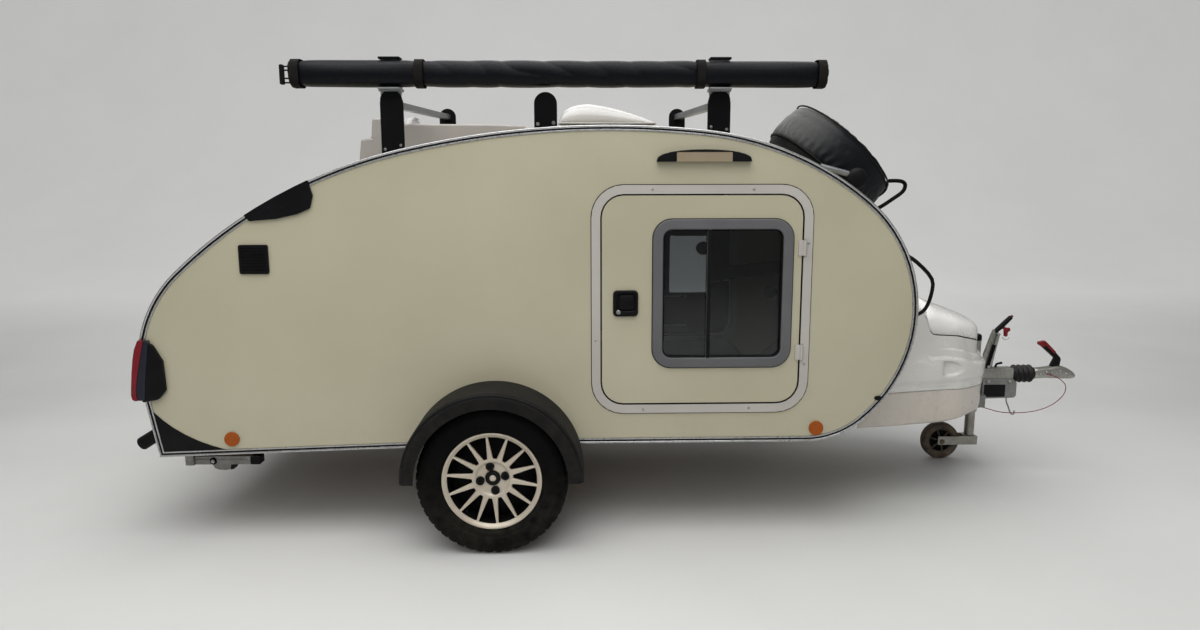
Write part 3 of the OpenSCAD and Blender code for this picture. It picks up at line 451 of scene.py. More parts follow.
# Each finish: colour, the shade that it mottles to, scale and amount of the mottle, roughness from and
# to, scale and bump of the grain, and what else it has
FINISH_TABLE = {
    "wall_cream": dict(base=(171, 166, 143), shade=(160, 154, 130), mottle=(1.6, 0.6),
        rough=(0.28, 0.42), grain=(24, 0.02), dust=(0.35, 0.55), coat=0.25),
    "panel_cream": dict(base=(176, 171, 150), shade=(164, 158, 136), mottle=(1.6, 0.6),
        rough=(0.28, 0.42), grain=(24, 0.02), dust=(0.25, 0.5), coat=0.25),
    "galvanised": dict(base=(150, 151, 150), shade=(112, 112, 110), mottle=(6, 0.6), rough=(0.35, 0.6),
        metal=0.85, grain=(120, 0.05), spangle=55, dust=(0.5, 0.45)),
    "floor_ply": dict(base=(150, 122, 88), shade=(120, 92, 60), mottle=(4, 0.5), rough=(0.5, 0.7),
        grain=(90, 0.1), wood=4),
    "galley_wood": dict(base=(196, 160, 116), shade=(170, 130, 86), mottle=(3, 0.5), rough=(0.32, 0.5),
        grain=(120, 0.06), wood=5),
    "edge_alu": dict(base=(196, 196, 196), shade=(160, 160, 160), mottle=(9, 0.5), rough=(0.2, 0.38),
        metal=1.0, grain=(60, 0.04), stretch=(1, 8, 1), dust=(0.3, 0.5)),
    "frame_white": dict(base=(172, 168, 162), shade=(158, 153, 146), mottle=(4, 0.5), rough=(0.34, 0.5),
        grain=(180, 0.05), dust=(0.2, 0.7), spec=0.35),
    "window_grey": dict(base=(92, 92, 94), shade=(80, 80, 82), mottle=(5, 0.6), rough=(0.42, 0.58),
        grain=(420, 0.12), spec=0.25),
    "black_plastic": dict(base=(13, 13, 15), shade=(22, 22, 24), mottle=(8, 0.6), rough=(0.34, 0.54),
        grain=(380, 0.12), wear=(0.002, 0.15, (60, 60, 60)), dust=(0.02, 0.5), spec=0.1),
    "fender_plastic": dict(base=(21, 21, 22), shade=(29, 28, 27), mottle=(5, 0.6), rough=(0.45, 0.62),
        grain=(520, 0.3), dust=(0.05, 0.75), spec=0.07),
    "tyre_rubber": dict(base=(7, 7, 8), shade=(13, 12, 12), mottle=(7, 0.7), rough=(0.55, 0.75),
        grain=(260, 0.2), dust=(0.05, 0.4), spec=0.06),
    "rim_alloy": dict(base=(196, 186, 170), shade=(172, 160, 142), mottle=(9, 0.6), rough=(0.28, 0.45),
        metal=0.35, grain=(220, 0.05), wear=(0.004, 0.35, (84, 80, 74)), coat=0.2, dust=(0.2, 0.5)),
    "gelcoat": dict(base=(206, 205, 200), shade=(194, 190, 182), mottle=(2.5, 0.5), rough=(0.16, 0.3),
        grain=(14, 0.02), coat=0.4, dust=(0.25, 0.55)),
    "bellows_rubber": dict(base=(13, 13, 14), shade=(22, 21, 20), mottle=(20, 0.6), rough=(0.4, 0.6),
        grain=(300, 0.15), dust=(0.08, 0.6), spec=0.25),
    "zinc": dict(base=(178, 178, 172), shade=(128, 126, 118), mottle=(14, 0.6), rough=(0.22, 0.45),
        metal=0.95, grain=(160, 0.06), spangle=120, dust=(0.35, 0.5)),
    "cable_red": dict(base=(112, 22, 26), shade=(78, 16, 18), mottle=(40, 0.6), rough=(0.35, 0.5),
        grain=(800, 0.1)),
    "rusty_wheel": dict(base=(44, 34, 27), shade=(80, 60, 42), mottle=(22, 0.8), rough=(0.6, 0.85),
        grain=(180, 0.4), dust=(0.5, 0.25)),
    "rusty_iron": dict(base=(116, 104, 88), shade=(92, 62, 40), mottle=(26, 0.8), rough=(0.5, 0.8),
        metal=0.5, grain=(200, 0.25), dust=(0.4, 0.3)),
    "lamp_red": dict(base=(112, 8, 24), shade=(84, 5, 16), mottle=(18, 0.5), rough=(0.12, 0.24),
        grain=(60, 0.02), ribs=900, coat=0.2, spec=0.3),
    "amber": dict(base=(146, 70, 4), shade=(132, 60, 2), mottle=(60, 0.5), rough=(0.2, 0.34),
        grain=(60, 0.02), ribs=1400, spec=0.25),
    "lamp_frost": dict(base=(138, 125, 104), shade=(126, 113, 92), mottle=(20, 0.5), rough=(0.35, 0.5),
        grain=(300, 0.05), ribs=700, spec=0.3),
    "black_steel": dict(base=(9, 9, 11), shade=(16, 16, 18), mottle=(7, 0.6), rough=(0.45, 0.62),
        grain=(420, 0.18), wear=(0.002, 0.1, (60, 60, 60)), spec=0.07),
    "rack_alu": dict(base=(170, 171, 172), shade=(138, 139, 140), mottle=(8, 0.5), rough=(0.25, 0.42),
        metal=1.0, grain=(50, 0.05), stretch=(8, 1, 8)),
    "vinyl_navy": dict(base=(7, 8, 13), shade=(12, 13, 19), mottle=(6, 0.5), rough=(0.2, 0.36),
        grain=(420, 0.08), weave=2600, coat=0.03, spec=0.12),
    # The charcoal vinyl greys towards the top and back, in patches
    "vinyl_charcoal": dict(base=(16, 18, 22), shade=(108, 108, 106), mottle=(2.4, 0.05),
        rough=(0.32, 0.5), grain=(240, 0.16), grey_rise=(0.88, 1.16), spec=0.1),
    "dome_white": dict(base=(184, 182, 179), shade=(170, 167, 162), mottle=(3, 0.5), rough=(0.16, 0.3),
        grain=(20, 0.02), coat=0.3),
    # Darker, warmer copy of the gelcoat for the nose's skirt: painted shade low down
    "gelcoat_low": dict(base=(194, 187, 178), shade=(183, 175, 164), mottle=(2.5, 0.5),
        rough=(0.2, 0.34), grain=(14, 0.02), coat=0.3, dust=(0.45, 0.55)),
    # Lit copy of the gelcoat for the hood: painted light, the top lighter than the sides as the light falls from
    # above
    "hood_white": dict(base=(232, 231, 228), shade=(222, 220, 215), mottle=(2.5, 0.5),
        rough=(0.16, 0.3), grain=(14, 0.02), coat=0.4, dust=(0.12, 0.55)),
    # Grey of the white roof unit's shaded side, given to the whole unit: painted shade
    "unit_grey": dict(base=(158, 153, 149), shade=(146, 141, 136), mottle=(2.5, 0.5), rough=(0.3, 0.45),
        grain=(40, 0.03), dust=(0.3, 0.55), spec=0.35),
    "mattress_cloth": dict(base=(96, 98, 104), shade=(80, 82, 88), mottle=(10, 0.5), rough=(0.75, 0.92),
        grain=(300, 0.15), weave=1800),
    "seal_rubber": dict(base=(9, 9, 10), shade=(18, 18, 18), mottle=(20, 0.5), rough=(0.45, 0.65),
        grain=(300, 0.1), spec=0.15),
    "strap_web": dict(base=(12, 11, 11), shade=(30, 25, 18), mottle=(26, 0.4), rough=(0.6, 0.8),
        grain=(500, 0.15), weave=3600, spec=0.15),
    "red_grip": dict(base=(112, 14, 22), shade=(84, 10, 15), mottle=(30, 0.5), rough=(0.34, 0.5),
        grain=(300, 0.1), spec=0.3),
    "steel_screw": dict(base=(168, 168, 166), shade=(120, 118, 112), mottle=(60, 0.5),
        rough=(0.25, 0.45), metal=1.0, grain=(300, 0.05)),
    "smoked_lens": dict(base=(14, 18, 32), shade=(22, 26, 42), mottle=(12, 0.5), rough=(0.14, 0.26),
        grain=(60, 0.02), ribs=900, coat=0.2, spec=0.3),
    # Dark finish for the cabin's inside, seen through the windows: painted shade
    "dark_lining": dict(base=(26, 25, 24), shade=(36, 34, 32), mottle=(5, 0.5), rough=(0.6, 0.8),
        grain=(240, 0.12), weave=1500, spec=0.1),
}


def finish_of(name):
    """The finish of that name, made when it is first asked for."""
    if not EFFECTS:
        EFFECTS.update(grain=grain_effect(), mottle=mottle_effect(), dust=dust_effect(),
            wear=wear_effect(), weave=weave_effect(), spangle=spangle_effect(), wood=plies_effect())
    if name not in FINISHES:
        special = {"tinted_glass": tinted_glass, "net_gauze": net_gauze}.get(name)
        FINISHES[name] = special() if special else table_finish(name, **FINISH_TABLE[name])
    return FINISHES[name]


def blank_finish(name):
    material = bpy.data.materials.new(name)
    material.use_nodes = True
    return material, Graph(material.node_tree), material.node_tree.nodes["Principled BSDF"]


def table_finish(name, base, shade, mottle, rough, grain, metal=0.0, coat=0.0, stretch=(1, 1, 1),
        dust=None, wear=None, weave=None, spangle=None, wood=None, ribs=None, grey_rise=None, spec=0.5):
    material, g, shader = blank_finish(name)
    shade = paint(*shade)
    colour = g.effect("mottle", Base=paint(*base), Shade=shade, Scale=float(mottle[0]),
        Amount=mottle[1])["Colour"]
    skin = g.effect("grain", Scale=float(grain[0]), Stretch=Vector(stretch))
    roughness = g.ramp(skin["Value"], 0.3, 0.7, *rough)
    height = skin["Fine"]
    if spangle:
        flake = g.effect("spangle", Scale=float(spangle))["Value"]
        colour = g.mix(g.times(flake, 0.45), colour, shade)
        roughness = g.plus(roughness, g.times(flake, 0.12))
    if wood:
        colour = g.mix(g.times(g.effect("wood", Scale=float(wood))["Value"], 0.5), colour, shade)
    if weave:
        cloth = g.effect("weave", Scale=float(weave))
        colour = g.mix(g.times(cloth["Shade"], 0.3), colour, shade)
        height = g.plus(height, cloth["Height"])
    if ribs:
        height = g.plus(height, g.effect("weave", Scale=float(ribs))["Height"])
    # Greyer towards the top and back, in patches
    if grey_rise:
        x, _, z = g.parts(g.place())
        greyed = g.ramp(g.math("SUBTRACT", z, g.times(x, 0.9)), *grey_rise)
        greyed = g.times(greyed, g.ramp(skin["Value"], 0.3, 0.7, 0.35, 0.8))
        colour = g.mix(greyed, colour, shade)
    if wear:
        bare = g.effect("wear", Width=wear[0], Amount=wear[1])["Mask"]
        colour = g.mix(bare, colour, paint(*wear[2]))
    if dust:
        film = g.effect("dust", Amount=dust[0], Reach=dust[1])["Mask"]
        colour = g.mix(film, colour, DUST)
        roughness = g.plus(roughness, g.times(film, 0.4))
    bump = g.add("Bump", {"Strength": min(grain[1] * 4, 1.0), "Distance": 0.0006,
        "Height": height}).outputs[0]
    g.feed(shader, {"Base Color": colour, "Roughness": roughness, "Normal": bump, "Metallic": metal,
        "Coat Weight": coat, "Specular IOR Level": spec})
    return material


def tinted_glass():
    material, g, shader = blank_finish("tinted_glass")
    skin = g.effect("grain", Scale=9.0)["Value"]
    tint = g.effect("mottle", Base=paint(198, 203, 205), Shade=paint(186, 191, 193), Scale=4.0,
        Amount=0.6)["Colour"]
    g.feed(shader, {"Base Color": tint, "Roughness": g.ramp(skin, 0.3, 0.75, 0.0, 0.008),
        "Transmission Weight": 1.0, "IOR": 1.45, "Specular IOR Level": 0.25})
    return material


def net_gauze():
    material, g, shader = blank_finish("net_gauze")
    threads = g.effect("weave", Scale=1400.0)["Shade"]
    tint = g.effect("mottle", Base=paint(170, 178, 178), Shade=paint(150, 158, 158), Scale=60.0,
        Amount=0.6)["Colour"]
    g.feed(shader, {"Base Color": tint, "Alpha": g.ramp(threads, 0.0, 1.0, 0.0, 0.3), "Roughness": 0.8})
    return material


# Settings

def colour_prop(name, description, rgb):
    return bpy.props.FloatVectorProperty(name=name, description=description, default=paint(*rgb)[:3],
        size=3, subtype="COLOR", min=0.0, max=1.0)


def length_prop(name, description, metres):
    return bpy.props.FloatProperty(name=name, description=description, default=metres, unit="LENGTH",
        min=0.0)


class TrailerStage(bpy.types.PropertyGroup):
    """Floor, backdrop and light."""
    floor_colour: colour_prop("Floor", "Colour of the floor and backdrop", (200, 200, 198))
    key_power: bpy.props.FloatProperty(name="Key light",
        description="Power of the large overhead light", default=350.0, unit="POWER")
    fill_power: bpy.props.FloatProperty(name="Fill light",
        description="Power of the light beside the camera", default=98.0, unit="POWER")
    sky: bpy.props.FloatProperty(name="Sky", description="Strength of the even light all round",
        default=0.29)
    backdrop_glow: bpy.props.FloatProperty(name="Backdrop", default=0.32,
        description="How much paler the backdrop looks to the camera")


class TrailerSizes(bpy.types.PropertyGroup):
    """Sizes of the pieces that a user may change."""
    tread_depth: length_prop("Tread depth", "Depth of the tyres' grooves", 0.007)
    strap_width: length_prop("Strap width", "Width of the straps round the awning bag", 0.032)
    seal_width: length_prop("Seal width", "Width of the rubber round doors and windows", 0.003)
    cable_diameter: length_prop("Cable diameter", "Diameter of the breakaway cable", 0.004)
    bag_swell: length_prop("Bag swell", "Most that the awning bag swells", 0.008)


def sizes():
    return bpy.context.scene.trailer_sizes


# Camera, cable and stage

LENS = 832.668 * 36.0 / 1200.0
CAMERA_AT = (335, -3981, 1418)
CAMERA_YAW, CAMERA_PITCH, CAMERA_ROLL = 1.4723, 9.1005, -0.112
BACKDROP_FADE = (1.2, 6)
SKY_SEEN = 0.56
FLOOR_HALF, SWEEP_START, SWEEP_LENGTH, SWEEP_TURNS, WALL_TOP = 30.0, 4.0, 12.0, 96, 18.0

# Each light: name, the setting of its power, size, place and what it aims at, in metres
LIGHTS = (
    ("key_light", "key_power", 6, (-0.6, -1.6, 5.2), (0, 0, 0.7)),
    ("fill_light", "fill_power", 3.6, (-1.5, -6.6, 3.7), (0, 0, 0.9)),
    ("back_light", "fill_power", 5, (0.5, 4, 5), (0, 0, 0.8)),
)


class TRAILER_OT_camera(bpy.types.Operator):
    """Sets the camera at the photograph's angle"""
    bl_idname = "trailer.camera"
    bl_label = "Camera"

    def execute(self, context):
        data = bpy.data.cameras.new("camera")
        data.sensor_width = 36.0
        data.lens = LENS
        data.clip_end = 200.0
        camera = bpy.data.objects.new("camera", data)
        context.scene.collection.objects.link(camera)
        yaw, pitch, roll = (math.radians(a) for a in (CAMERA_YAW, CAMERA_PITCH, CAMERA_ROLL))
        ahead = Vector((math.sin(yaw) * math.cos(pitch), math.cos(yaw) * math.cos(pitch),
            -math.sin(pitch)))
        right = Vector((math.cos(yaw), -math.sin(yaw), 0))
        up = right.cross(ahead)
        across = right * math.cos(roll) + up * math.sin(roll)
        over = up * math.cos(roll) - right * math.sin(roll)
        turn = Matrix((across, over, -ahead)).transposed().to_4x4()
        camera.matrix_world = Matrix.Translation(at(*CAMERA_AT)) @ turn
        context.scene.camera = camera
        return {"FINISHED"}


A_TIP, TIP, RAIL_LOW, DRAWBAR_Z = 2327.23, 2801.23, 320.0, 474.0
CABLE_SHARES = ((0.660, 1.000), (0.719, 0.974), (0.786, 0.857), (0.833, 0.701), (0.837, 0.519),
    (0.812, 0.351), (0.765, 0.195), (0.702, 0.052), (0.622, -0.065), (0.533, -0.143), (0.428, -0.188),
    (0.322, -0.201), (0.217, -0.188), (0.132, -0.149), (0.065, -0.091), (-0.019, -0.0156))
CABLE_YS = (-29.6, -44, -52, -56, -58, -60, -60, -60, -60, -60, -60, -60, -59, -57, -54, -50)


class TRAILER_OT_cable(bpy.types.Operator):
    """Hangs the breakaway cable from the coupling head to the A-frame"""
    bl_idname = "trailer.cable"
    bl_label = "Breakaway cable"

    def execute(self, context):
        route = [at(A_TIP + s[0] * (TIP - A_TIP), y, RAIL_LOW + s[1] * (DRAWBAR_Z - RAIL_LOW))
            for s, y in zip(CABLE_SHARES, CABLE_YS)]
        path = smooth_path(route, 4)
        curve = bpy.data.curves.new("breakaway_wire", "CURVE")
        curve.dimensions = "3D"
        curve.bevel_depth = sizes().cable_diameter / 2
        curve.bevel_resolution = 3
        curve.use_fill_caps = True
        spline = curve.splines.new("POLY")
        spline.points.add(len(path) - 1)
        for point, p in zip(spline.points, path):
            point.co = (*p, 1)
        wire = bpy.data.objects.new("breakaway_wire", curve)
        context.scene.collection.objects.link(wire)
        settle(wire, "cable_red", "trailer", replaces=("breakaway_cable",))
        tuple(route[0])
        sum((b - a).length for a, b in zip(path, path[1:]))
        return {"FINISHED"}


class TRAILER_OT_stage(bpy.types.Operator):
    """Lays the pale floor and backdrop and sets the soft lights"""
    bl_idname = "trailer.stage"
    bl_label = "Floor and light"

    def execute(self, context):
        settings = context.scene.trailer_stage
        material, g, shader = blank_finish("studio_floor")
        pale = (*settings.floor_colour, 1)
        soft = tuple(c * 0.93 for c in settings.floor_colour) + (1,)
        here = g.place()
        seen = g.add("LightPath").outputs["Is Camera Ray"]
        glow = g.times(g.times(g.ramp(g.parts(here)[1], *BACKDROP_FADE), seen), settings.backdrop_glow)
        g.feed(shader, {"Base Color": g.mix(g.ramp(g.noise(here, 0.8, 6.0), 0.35, 0.7), pale, soft),
            "Roughness": 0.65, "Specular IOR Level": 0.2, "Emission Color": (1, 1, 0.985, 1),
            "Emission Strength": glow})
        line = [(-FLOOR_HALF, 0), (SWEEP_START, 0)]
        stride = SWEEP_LENGTH / SWEEP_TURNS
        for k in range(SWEEP_TURNS):
            a = math.pi / 2 * ease((k + 0.5) / SWEEP_TURNS)
            line.append((line[-1][0] + stride * math.cos(a), line[-1][1] + stride * math.sin(a)))
        line.append((line[-1][0], WALL_TOP))
        sweep = Shape().loft([[(x, y, z - 0.001) for y, z in line] for x in (-FLOOR_HALF, FLOOR_HALF)],
            around=False)
        mesh = bpy.data.meshes.new("studio_floor")
        mesh.from_pydata([tuple(p) for p in sweep.points], [], sweep.faces)
        mesh.shade_smooth()
        mesh.materials.append(material)
        floor = bpy.data.objects.new("studio_floor", mesh)
        context.scene.collection.objects.link(floor)
        for name, power, size, place_at, aim in LIGHTS:
            light = bpy.data.lights.new(name, "AREA")
            light.energy = getattr(settings, power)
            light.size = size
            lamp = bpy.data.objects.new(name, light)
            lamp.location = place_at
            lamp.rotation_euler = (Vector(aim) - Vector(place_at)).to_track_quat("-Z", "Y").to_euler()
            lamp.visible_glossy = name != "fill_light"
            context.scene.collection.objects.link(lamp)
        world = bpy.data.worlds.new("studio_sky")
        world.use_nodes = True
        g = Graph(world.node_tree)
        extra = g.times(g.add("LightPath").outputs["Is Camera Ray"], SKY_SEEN - settings.sky)
        g.feed(world.node_tree.nodes["Background"], {"Color": (1, 1, 1, 1),
            "Strength": g.plus(extra, settings.sky)})
        context.scene.world = world
        context.scene.view_settings.view_transform = "Standard"
        return {"FINISHED"}


# Solids that stay

KEPT_ROUND = {"window_frame_right": 5.0, "window_frame_left": 5.0, "lamp_housings": 5.0,
    "hinge_caps": 2.5, "vents": 1.5, "porch_lamps": 6.0, "door_frames": 2.0, "roof_brackets": 1.2,
    "reflectors": 2.5, "lamp_lenses": 6.0, "roof_unit": 14.0, "skylight_base": 5.0,
    "corner_plates": 0.8}


class TRAILER_OT_solids(bpy.types.Operator):
    """Gives the solids that stay their finishes and rounds their edges"""
    bl_idname = "trailer.solids"
    bl_label = "Solids"

    def execute(self, context):
        for row in frame["record"]["subparts"]:
            solid = frame["nodes"][row["node"]]
            finish = finish_of(row["material_slot"])
            if not solid.material_slots:
                solid.data.materials.append(finish)
            for slot in solid.material_slots:
                slot.material = finish
            solid.data.shade_smooth()
            weld = solid.modifiers.new("weld", "WELD")
            weld.merge_threshold = 1e-5
            rounding = solid.modifiers.new("rounding", "BEVEL")
            rounding.width = KEPT_ROUND.get(row["node"], 1.0) * MM
            rounding.segments = 3 if rounding.width > 1.5 * MM else 2
            rounding.limit_method = "ANGLE"
            rounding.angle_limit = math.radians(32)
            rounding.use_clamp_overlap = True
            solid.modifiers.new("even_normals", "WEIGHTED_NORMAL")
        return {"FINISHED"}


# Wheels

WHEEL_OUT, AXLE_Z = 868.0, 291.5
TREAD_HALF = ((290.2, 62), (290.9, 48), (None, 46.5), (None, 38), (291.1, 36.5), (291.3, 19.5),
    (None, 18), (None, 10), (291.3, 8.5))
SIDEWALL = ((191, 60), (192, 70), (196, 77.5), (203, 81), (206, 84), (211, 84.4), (214, 83),
    (222, 85.2), (224, 86.4), (227, 86.4), (229, 86), (243, 87.3), (252, 87), (254, 87.4), (257, 87),
    (259, 86), (268, 83.6), (276, 80), (283, 75), (287.6, 68.5))
SPOKES = 14
SPOKE_TURN = math.radians(18.5)
RIM_ROWS = (27, 36, 45, 54, 62, 68, 72, 76, 80, 96, 112, 130, 148, 162, 170, 174, 177, 180, 184, 188,
    191)
WINDOW_IN, WINDOW_OUT, RIM_THICK = 80, 174, 0.012
BOLT_RING, BOLT_TURN = 49, 101
RIM_FACE = ((27, 28), (45, 29.5), (62, 34), (68, 38), (72, 42), (85, 43), (174, 60), (180, 64),
    (188, 72), (191, 71))
RIM_BARREL = ((191, 70), (191.5, 62), (181, 60), (177.6, 56), (177.4, -60), (181, -66), (195, -71),
    (195, -77), (190, -78), (178, -73), (170, -62), (170, 48), (176, 56), (186, 66))
BRAKE_DRUM = ((40, 24), (62, 24), (66, 18), (112, 14), (160, 8), (166, 2), (166, -40), (40, -42))
CAP_RING = ((13, 41), (24, 41), (28.5, 38), (29.5, 30), (13, 30))
CAP_DOME = ((0, 43), (7, 42.6), (12, 41), (13.5, 38), (13.5, 31), (0, 31))
BOLT_WELL = ((0, 43.5), (14.6, 43.5), (16.4, 44.5), (17, 42), (17, 26), (0, 26))
BOLT_HEAD = ((0, 45.4), (6, 45.6), (8.4, 44.6), (8.8, 40), (0, 40))
# Dark tube along the fender's crease: painted shadow of its groove
GROOVE_SHADOW_R, GROOVE_SHADOW_Y, GROOVE_SHADOW_ENDS = 341, 971, 0.2


def on_wheel(side, x=0.0, z=AXLE_Z, out=WHEEL_OUT):
    return lambda r, a, h: at(x + r * math.cos(a), side * (out + h), z + r * math.sin(a))


def rim_face(r):
    """How far the rim's face stands out from the wheel's middle."""
    return level(r, RIM_FACE)


def tyre_shape(side, depth):
    tread = [(r if r else 291.2 - depth / MM, h) for r, h in TREAD_HALF]
    half = list(SIDEWALL) + tread
    profile = half + [(r, -h) for r, h in reversed(half)]
    place = on_wheel(side)
    segments = 240
    rings = []
    for s in range(segments):
        notch = depth / MM * 0.8 if s % 5 == 0 else 0.0
        a = 2 * math.pi * s / segments
        rings.append([place(r - (notch if abs(h) > 47 and r > 280 else 0.0), a, h) for r, h in profile])
    return Shape().loft(rings, along=True)


def rim_shape(side):
    place = on_wheel(side)
    pitch = 2 * math.pi / SPOKES
    shape = Shape()
    rings = []
    for r in RIM_ROWS:
        at_r = min(max(r, WINDOW_IN), WINDOW_OUT)
        half = np.interp(at_r, (WINDOW_IN, WINDOW_OUT), (11.5, 4.6)) / at_r
        ring = []
        for k in range(SPOKES):
            steps = [-half, -half / 2, 0, half / 2] + [half + (pitch - 2 * half) * n / 6
                for n in range(6)]
            ring += [place(r, SPOKE_TURN + k * pitch + a, rim_face(r)) for a in steps]
        rings.append(ring)
    count = len(rings[0])
    faces = []
    for i in range(len(rings) - 1):
        through = WINDOW_IN <= RIM_ROWS[i] and RIM_ROWS[i + 1] <= WINDOW_OUT
        for k in range(count):
            if through and 4 <= k % 10 <= 9:
                continue
            l = (k + 1) % count
            faces.append((i * count + k, i * count + l, (i + 1) * count + l, (i + 1) * count + k))
    return shape.add([p for ring in rings for p in ring], faces)


class TRAILER_OT_wheels(bpy.types.Operator):
    """Makes the tyres with their tread, the rims, bolts and caps"""
    bl_idname = "trailer.wheels"
    bl_label = "Road wheels"

    def execute(self, context):
        for name, side in SIDES:
            body = name + "_wheel"
            place = on_wheel(side)
            tyre_shape(side, sizes().tread_depth).make("road_tyre_" + name, "tyre_rubber", body,
                smooth=50, replaces=("tyre_" + name,))
            spokes = rim_shape(side).make("rim_spokes_" + name, "rim_alloy", body, smooth=60)
            thicken(spokes, RIM_THICK, 0.0)
            smooth_skin(spokes)
            for piece, slot, finish, profile, sides, smooth, hidden in (
                # The barrel is black: painted shade inside the wheel, where the alloy lies in shade
                ("rim_barrel_", "rim_alloy", "black_steel", RIM_BARREL, 96, 40, ("rim_" + name,)),
                ("brake_drum_", "black_steel", None, BRAKE_DRUM, 64, 40, ()),
                ("cap_ring_", "black_plastic", None, CAP_RING, 48, 30, ()),
                ("cap_centre_", "rim_alloy", None, CAP_DOME, 32, 50, ()),
            ):
                Shape().lathe(profile, sides, place).make(piece + name, slot, body, finish, smooth,
                    replaces=hidden)
            wells, heads = Shape(), Shape()
            for k in range(4):
                a = math.radians(BOLT_TURN + 90 * k)
                spot = on_wheel(side, BOLT_RING * math.cos(a), AXLE_Z + BOLT_RING * math.sin(a))
                wells.lathe(BOLT_WELL, 32, spot)
                heads.lathe(BOLT_HEAD, 6, spot)
            wells.make("bolt_wells_" + name, "black_plastic", body, smooth=30)
            heads.make("wheel_bolts_" + name, "zinc", body, "black_steel", smooth=20)
            # Dark tube on the fender's crease: painted shadow of the groove
            bead = [at(GROOVE_SHADOW_R * math.cos(a), side * GROOVE_SHADOW_Y, AXLE_Z + GROOVE_SHADOW_R * math.sin(a))
                for a in np.linspace(GROOVE_SHADOW_ENDS, math.pi - GROOVE_SHADOW_ENDS, 60)]
            Shape().tube(bead, 5.0, 10).make("fender_bead_" + name, "fender_plastic", "trailer",
                "black_plastic", smooth=60)
            stem = [place(158, math.radians(231), h) for h in (44, 60, 66)]
            Shape().tube(stem, 3.2, 10).make("valve_" + name, "black_plastic", body, smooth=50)
        return {"FINISHED"}


# Side walls, doors and what is on them

DOOR = (385.08, 505.15, 1245.16, 1405.20)
DOOR_W, DOOR_H, DOOR_R, DOOR_FRAME = 860.08, 900.05, 125.0, 34.0
WINDOW = (623.06, 689.66, 1171.08, 1274.69)
WINDOW_R, WINDOW_FRAME = 75.0, 40.0
FRAME_SCREWS = ((589, 520), (1012, 523), (400, 800), (1229, 700), (1229, 1180), (620, 1388),
    (1010, 1388))
HINGE_PIN = ((0, 34.5), (3, 34), (5, 32), (5.2, 28), (0, 28))
HINGE_SHARES, LATCH_SHARES = (0.27, 0.73), (0.154, 0.492)
TRIM_BEADS = (
    ("trim_bead", "edge_alu", None, ((0.3, 2), (0.8, 4.4), (3, 6), (6, 5.8), (8.6, 4), (8.8, 2))),
    ("trim_insert", "black_plastic", "seal_rubber", ((9, 2), (9.4, 4.6), (12.5, 5.4), (15.6, 4.6),
        (16, 2))),
    ("trim_lip", "edge_alu", None, ((16.2, 2), (16.6, 4.2), (19, 5), (21.6, 4), (22, 2))),
)


def inset_rect(rect, d):
    return rect[0] + d, rect[1] + d, rect[2] - d, rect[3] - d


def ring_round(rect, r, profile, side, steps=10):
    """A strip of the given profile, as inset and stand-out, round a rounded rectangle on a wall."""
    place = on_wall(side)
    rings = [[place(x, z, out) for x, z in rounded_rect(*inset_rect(rect, d), r - d, steps)]
        for d, out in profile]
    return Shape().loft(rings, along=True)


class TRAILER_OT_trims(bpy.types.Operator):
    """Lays the bright bead, black insert and lip along the walls' edges"""
    bl_idname = "trailer.trims"
    bl_label = "Edge trims"

    def execute(self, context):
        for name, side in SIDES:
            place = on_wall(side)
            for piece, slot, finish, profile in TRIM_BEADS:
                rings = [[place(x, z, out) for x, z in outline_loop(d)] for d, out in profile]
                Shape().loft(rings, along=True).make(piece + "_" + name, slot, "trailer", finish,
                    smooth=45)
        return {"FINISHED"}


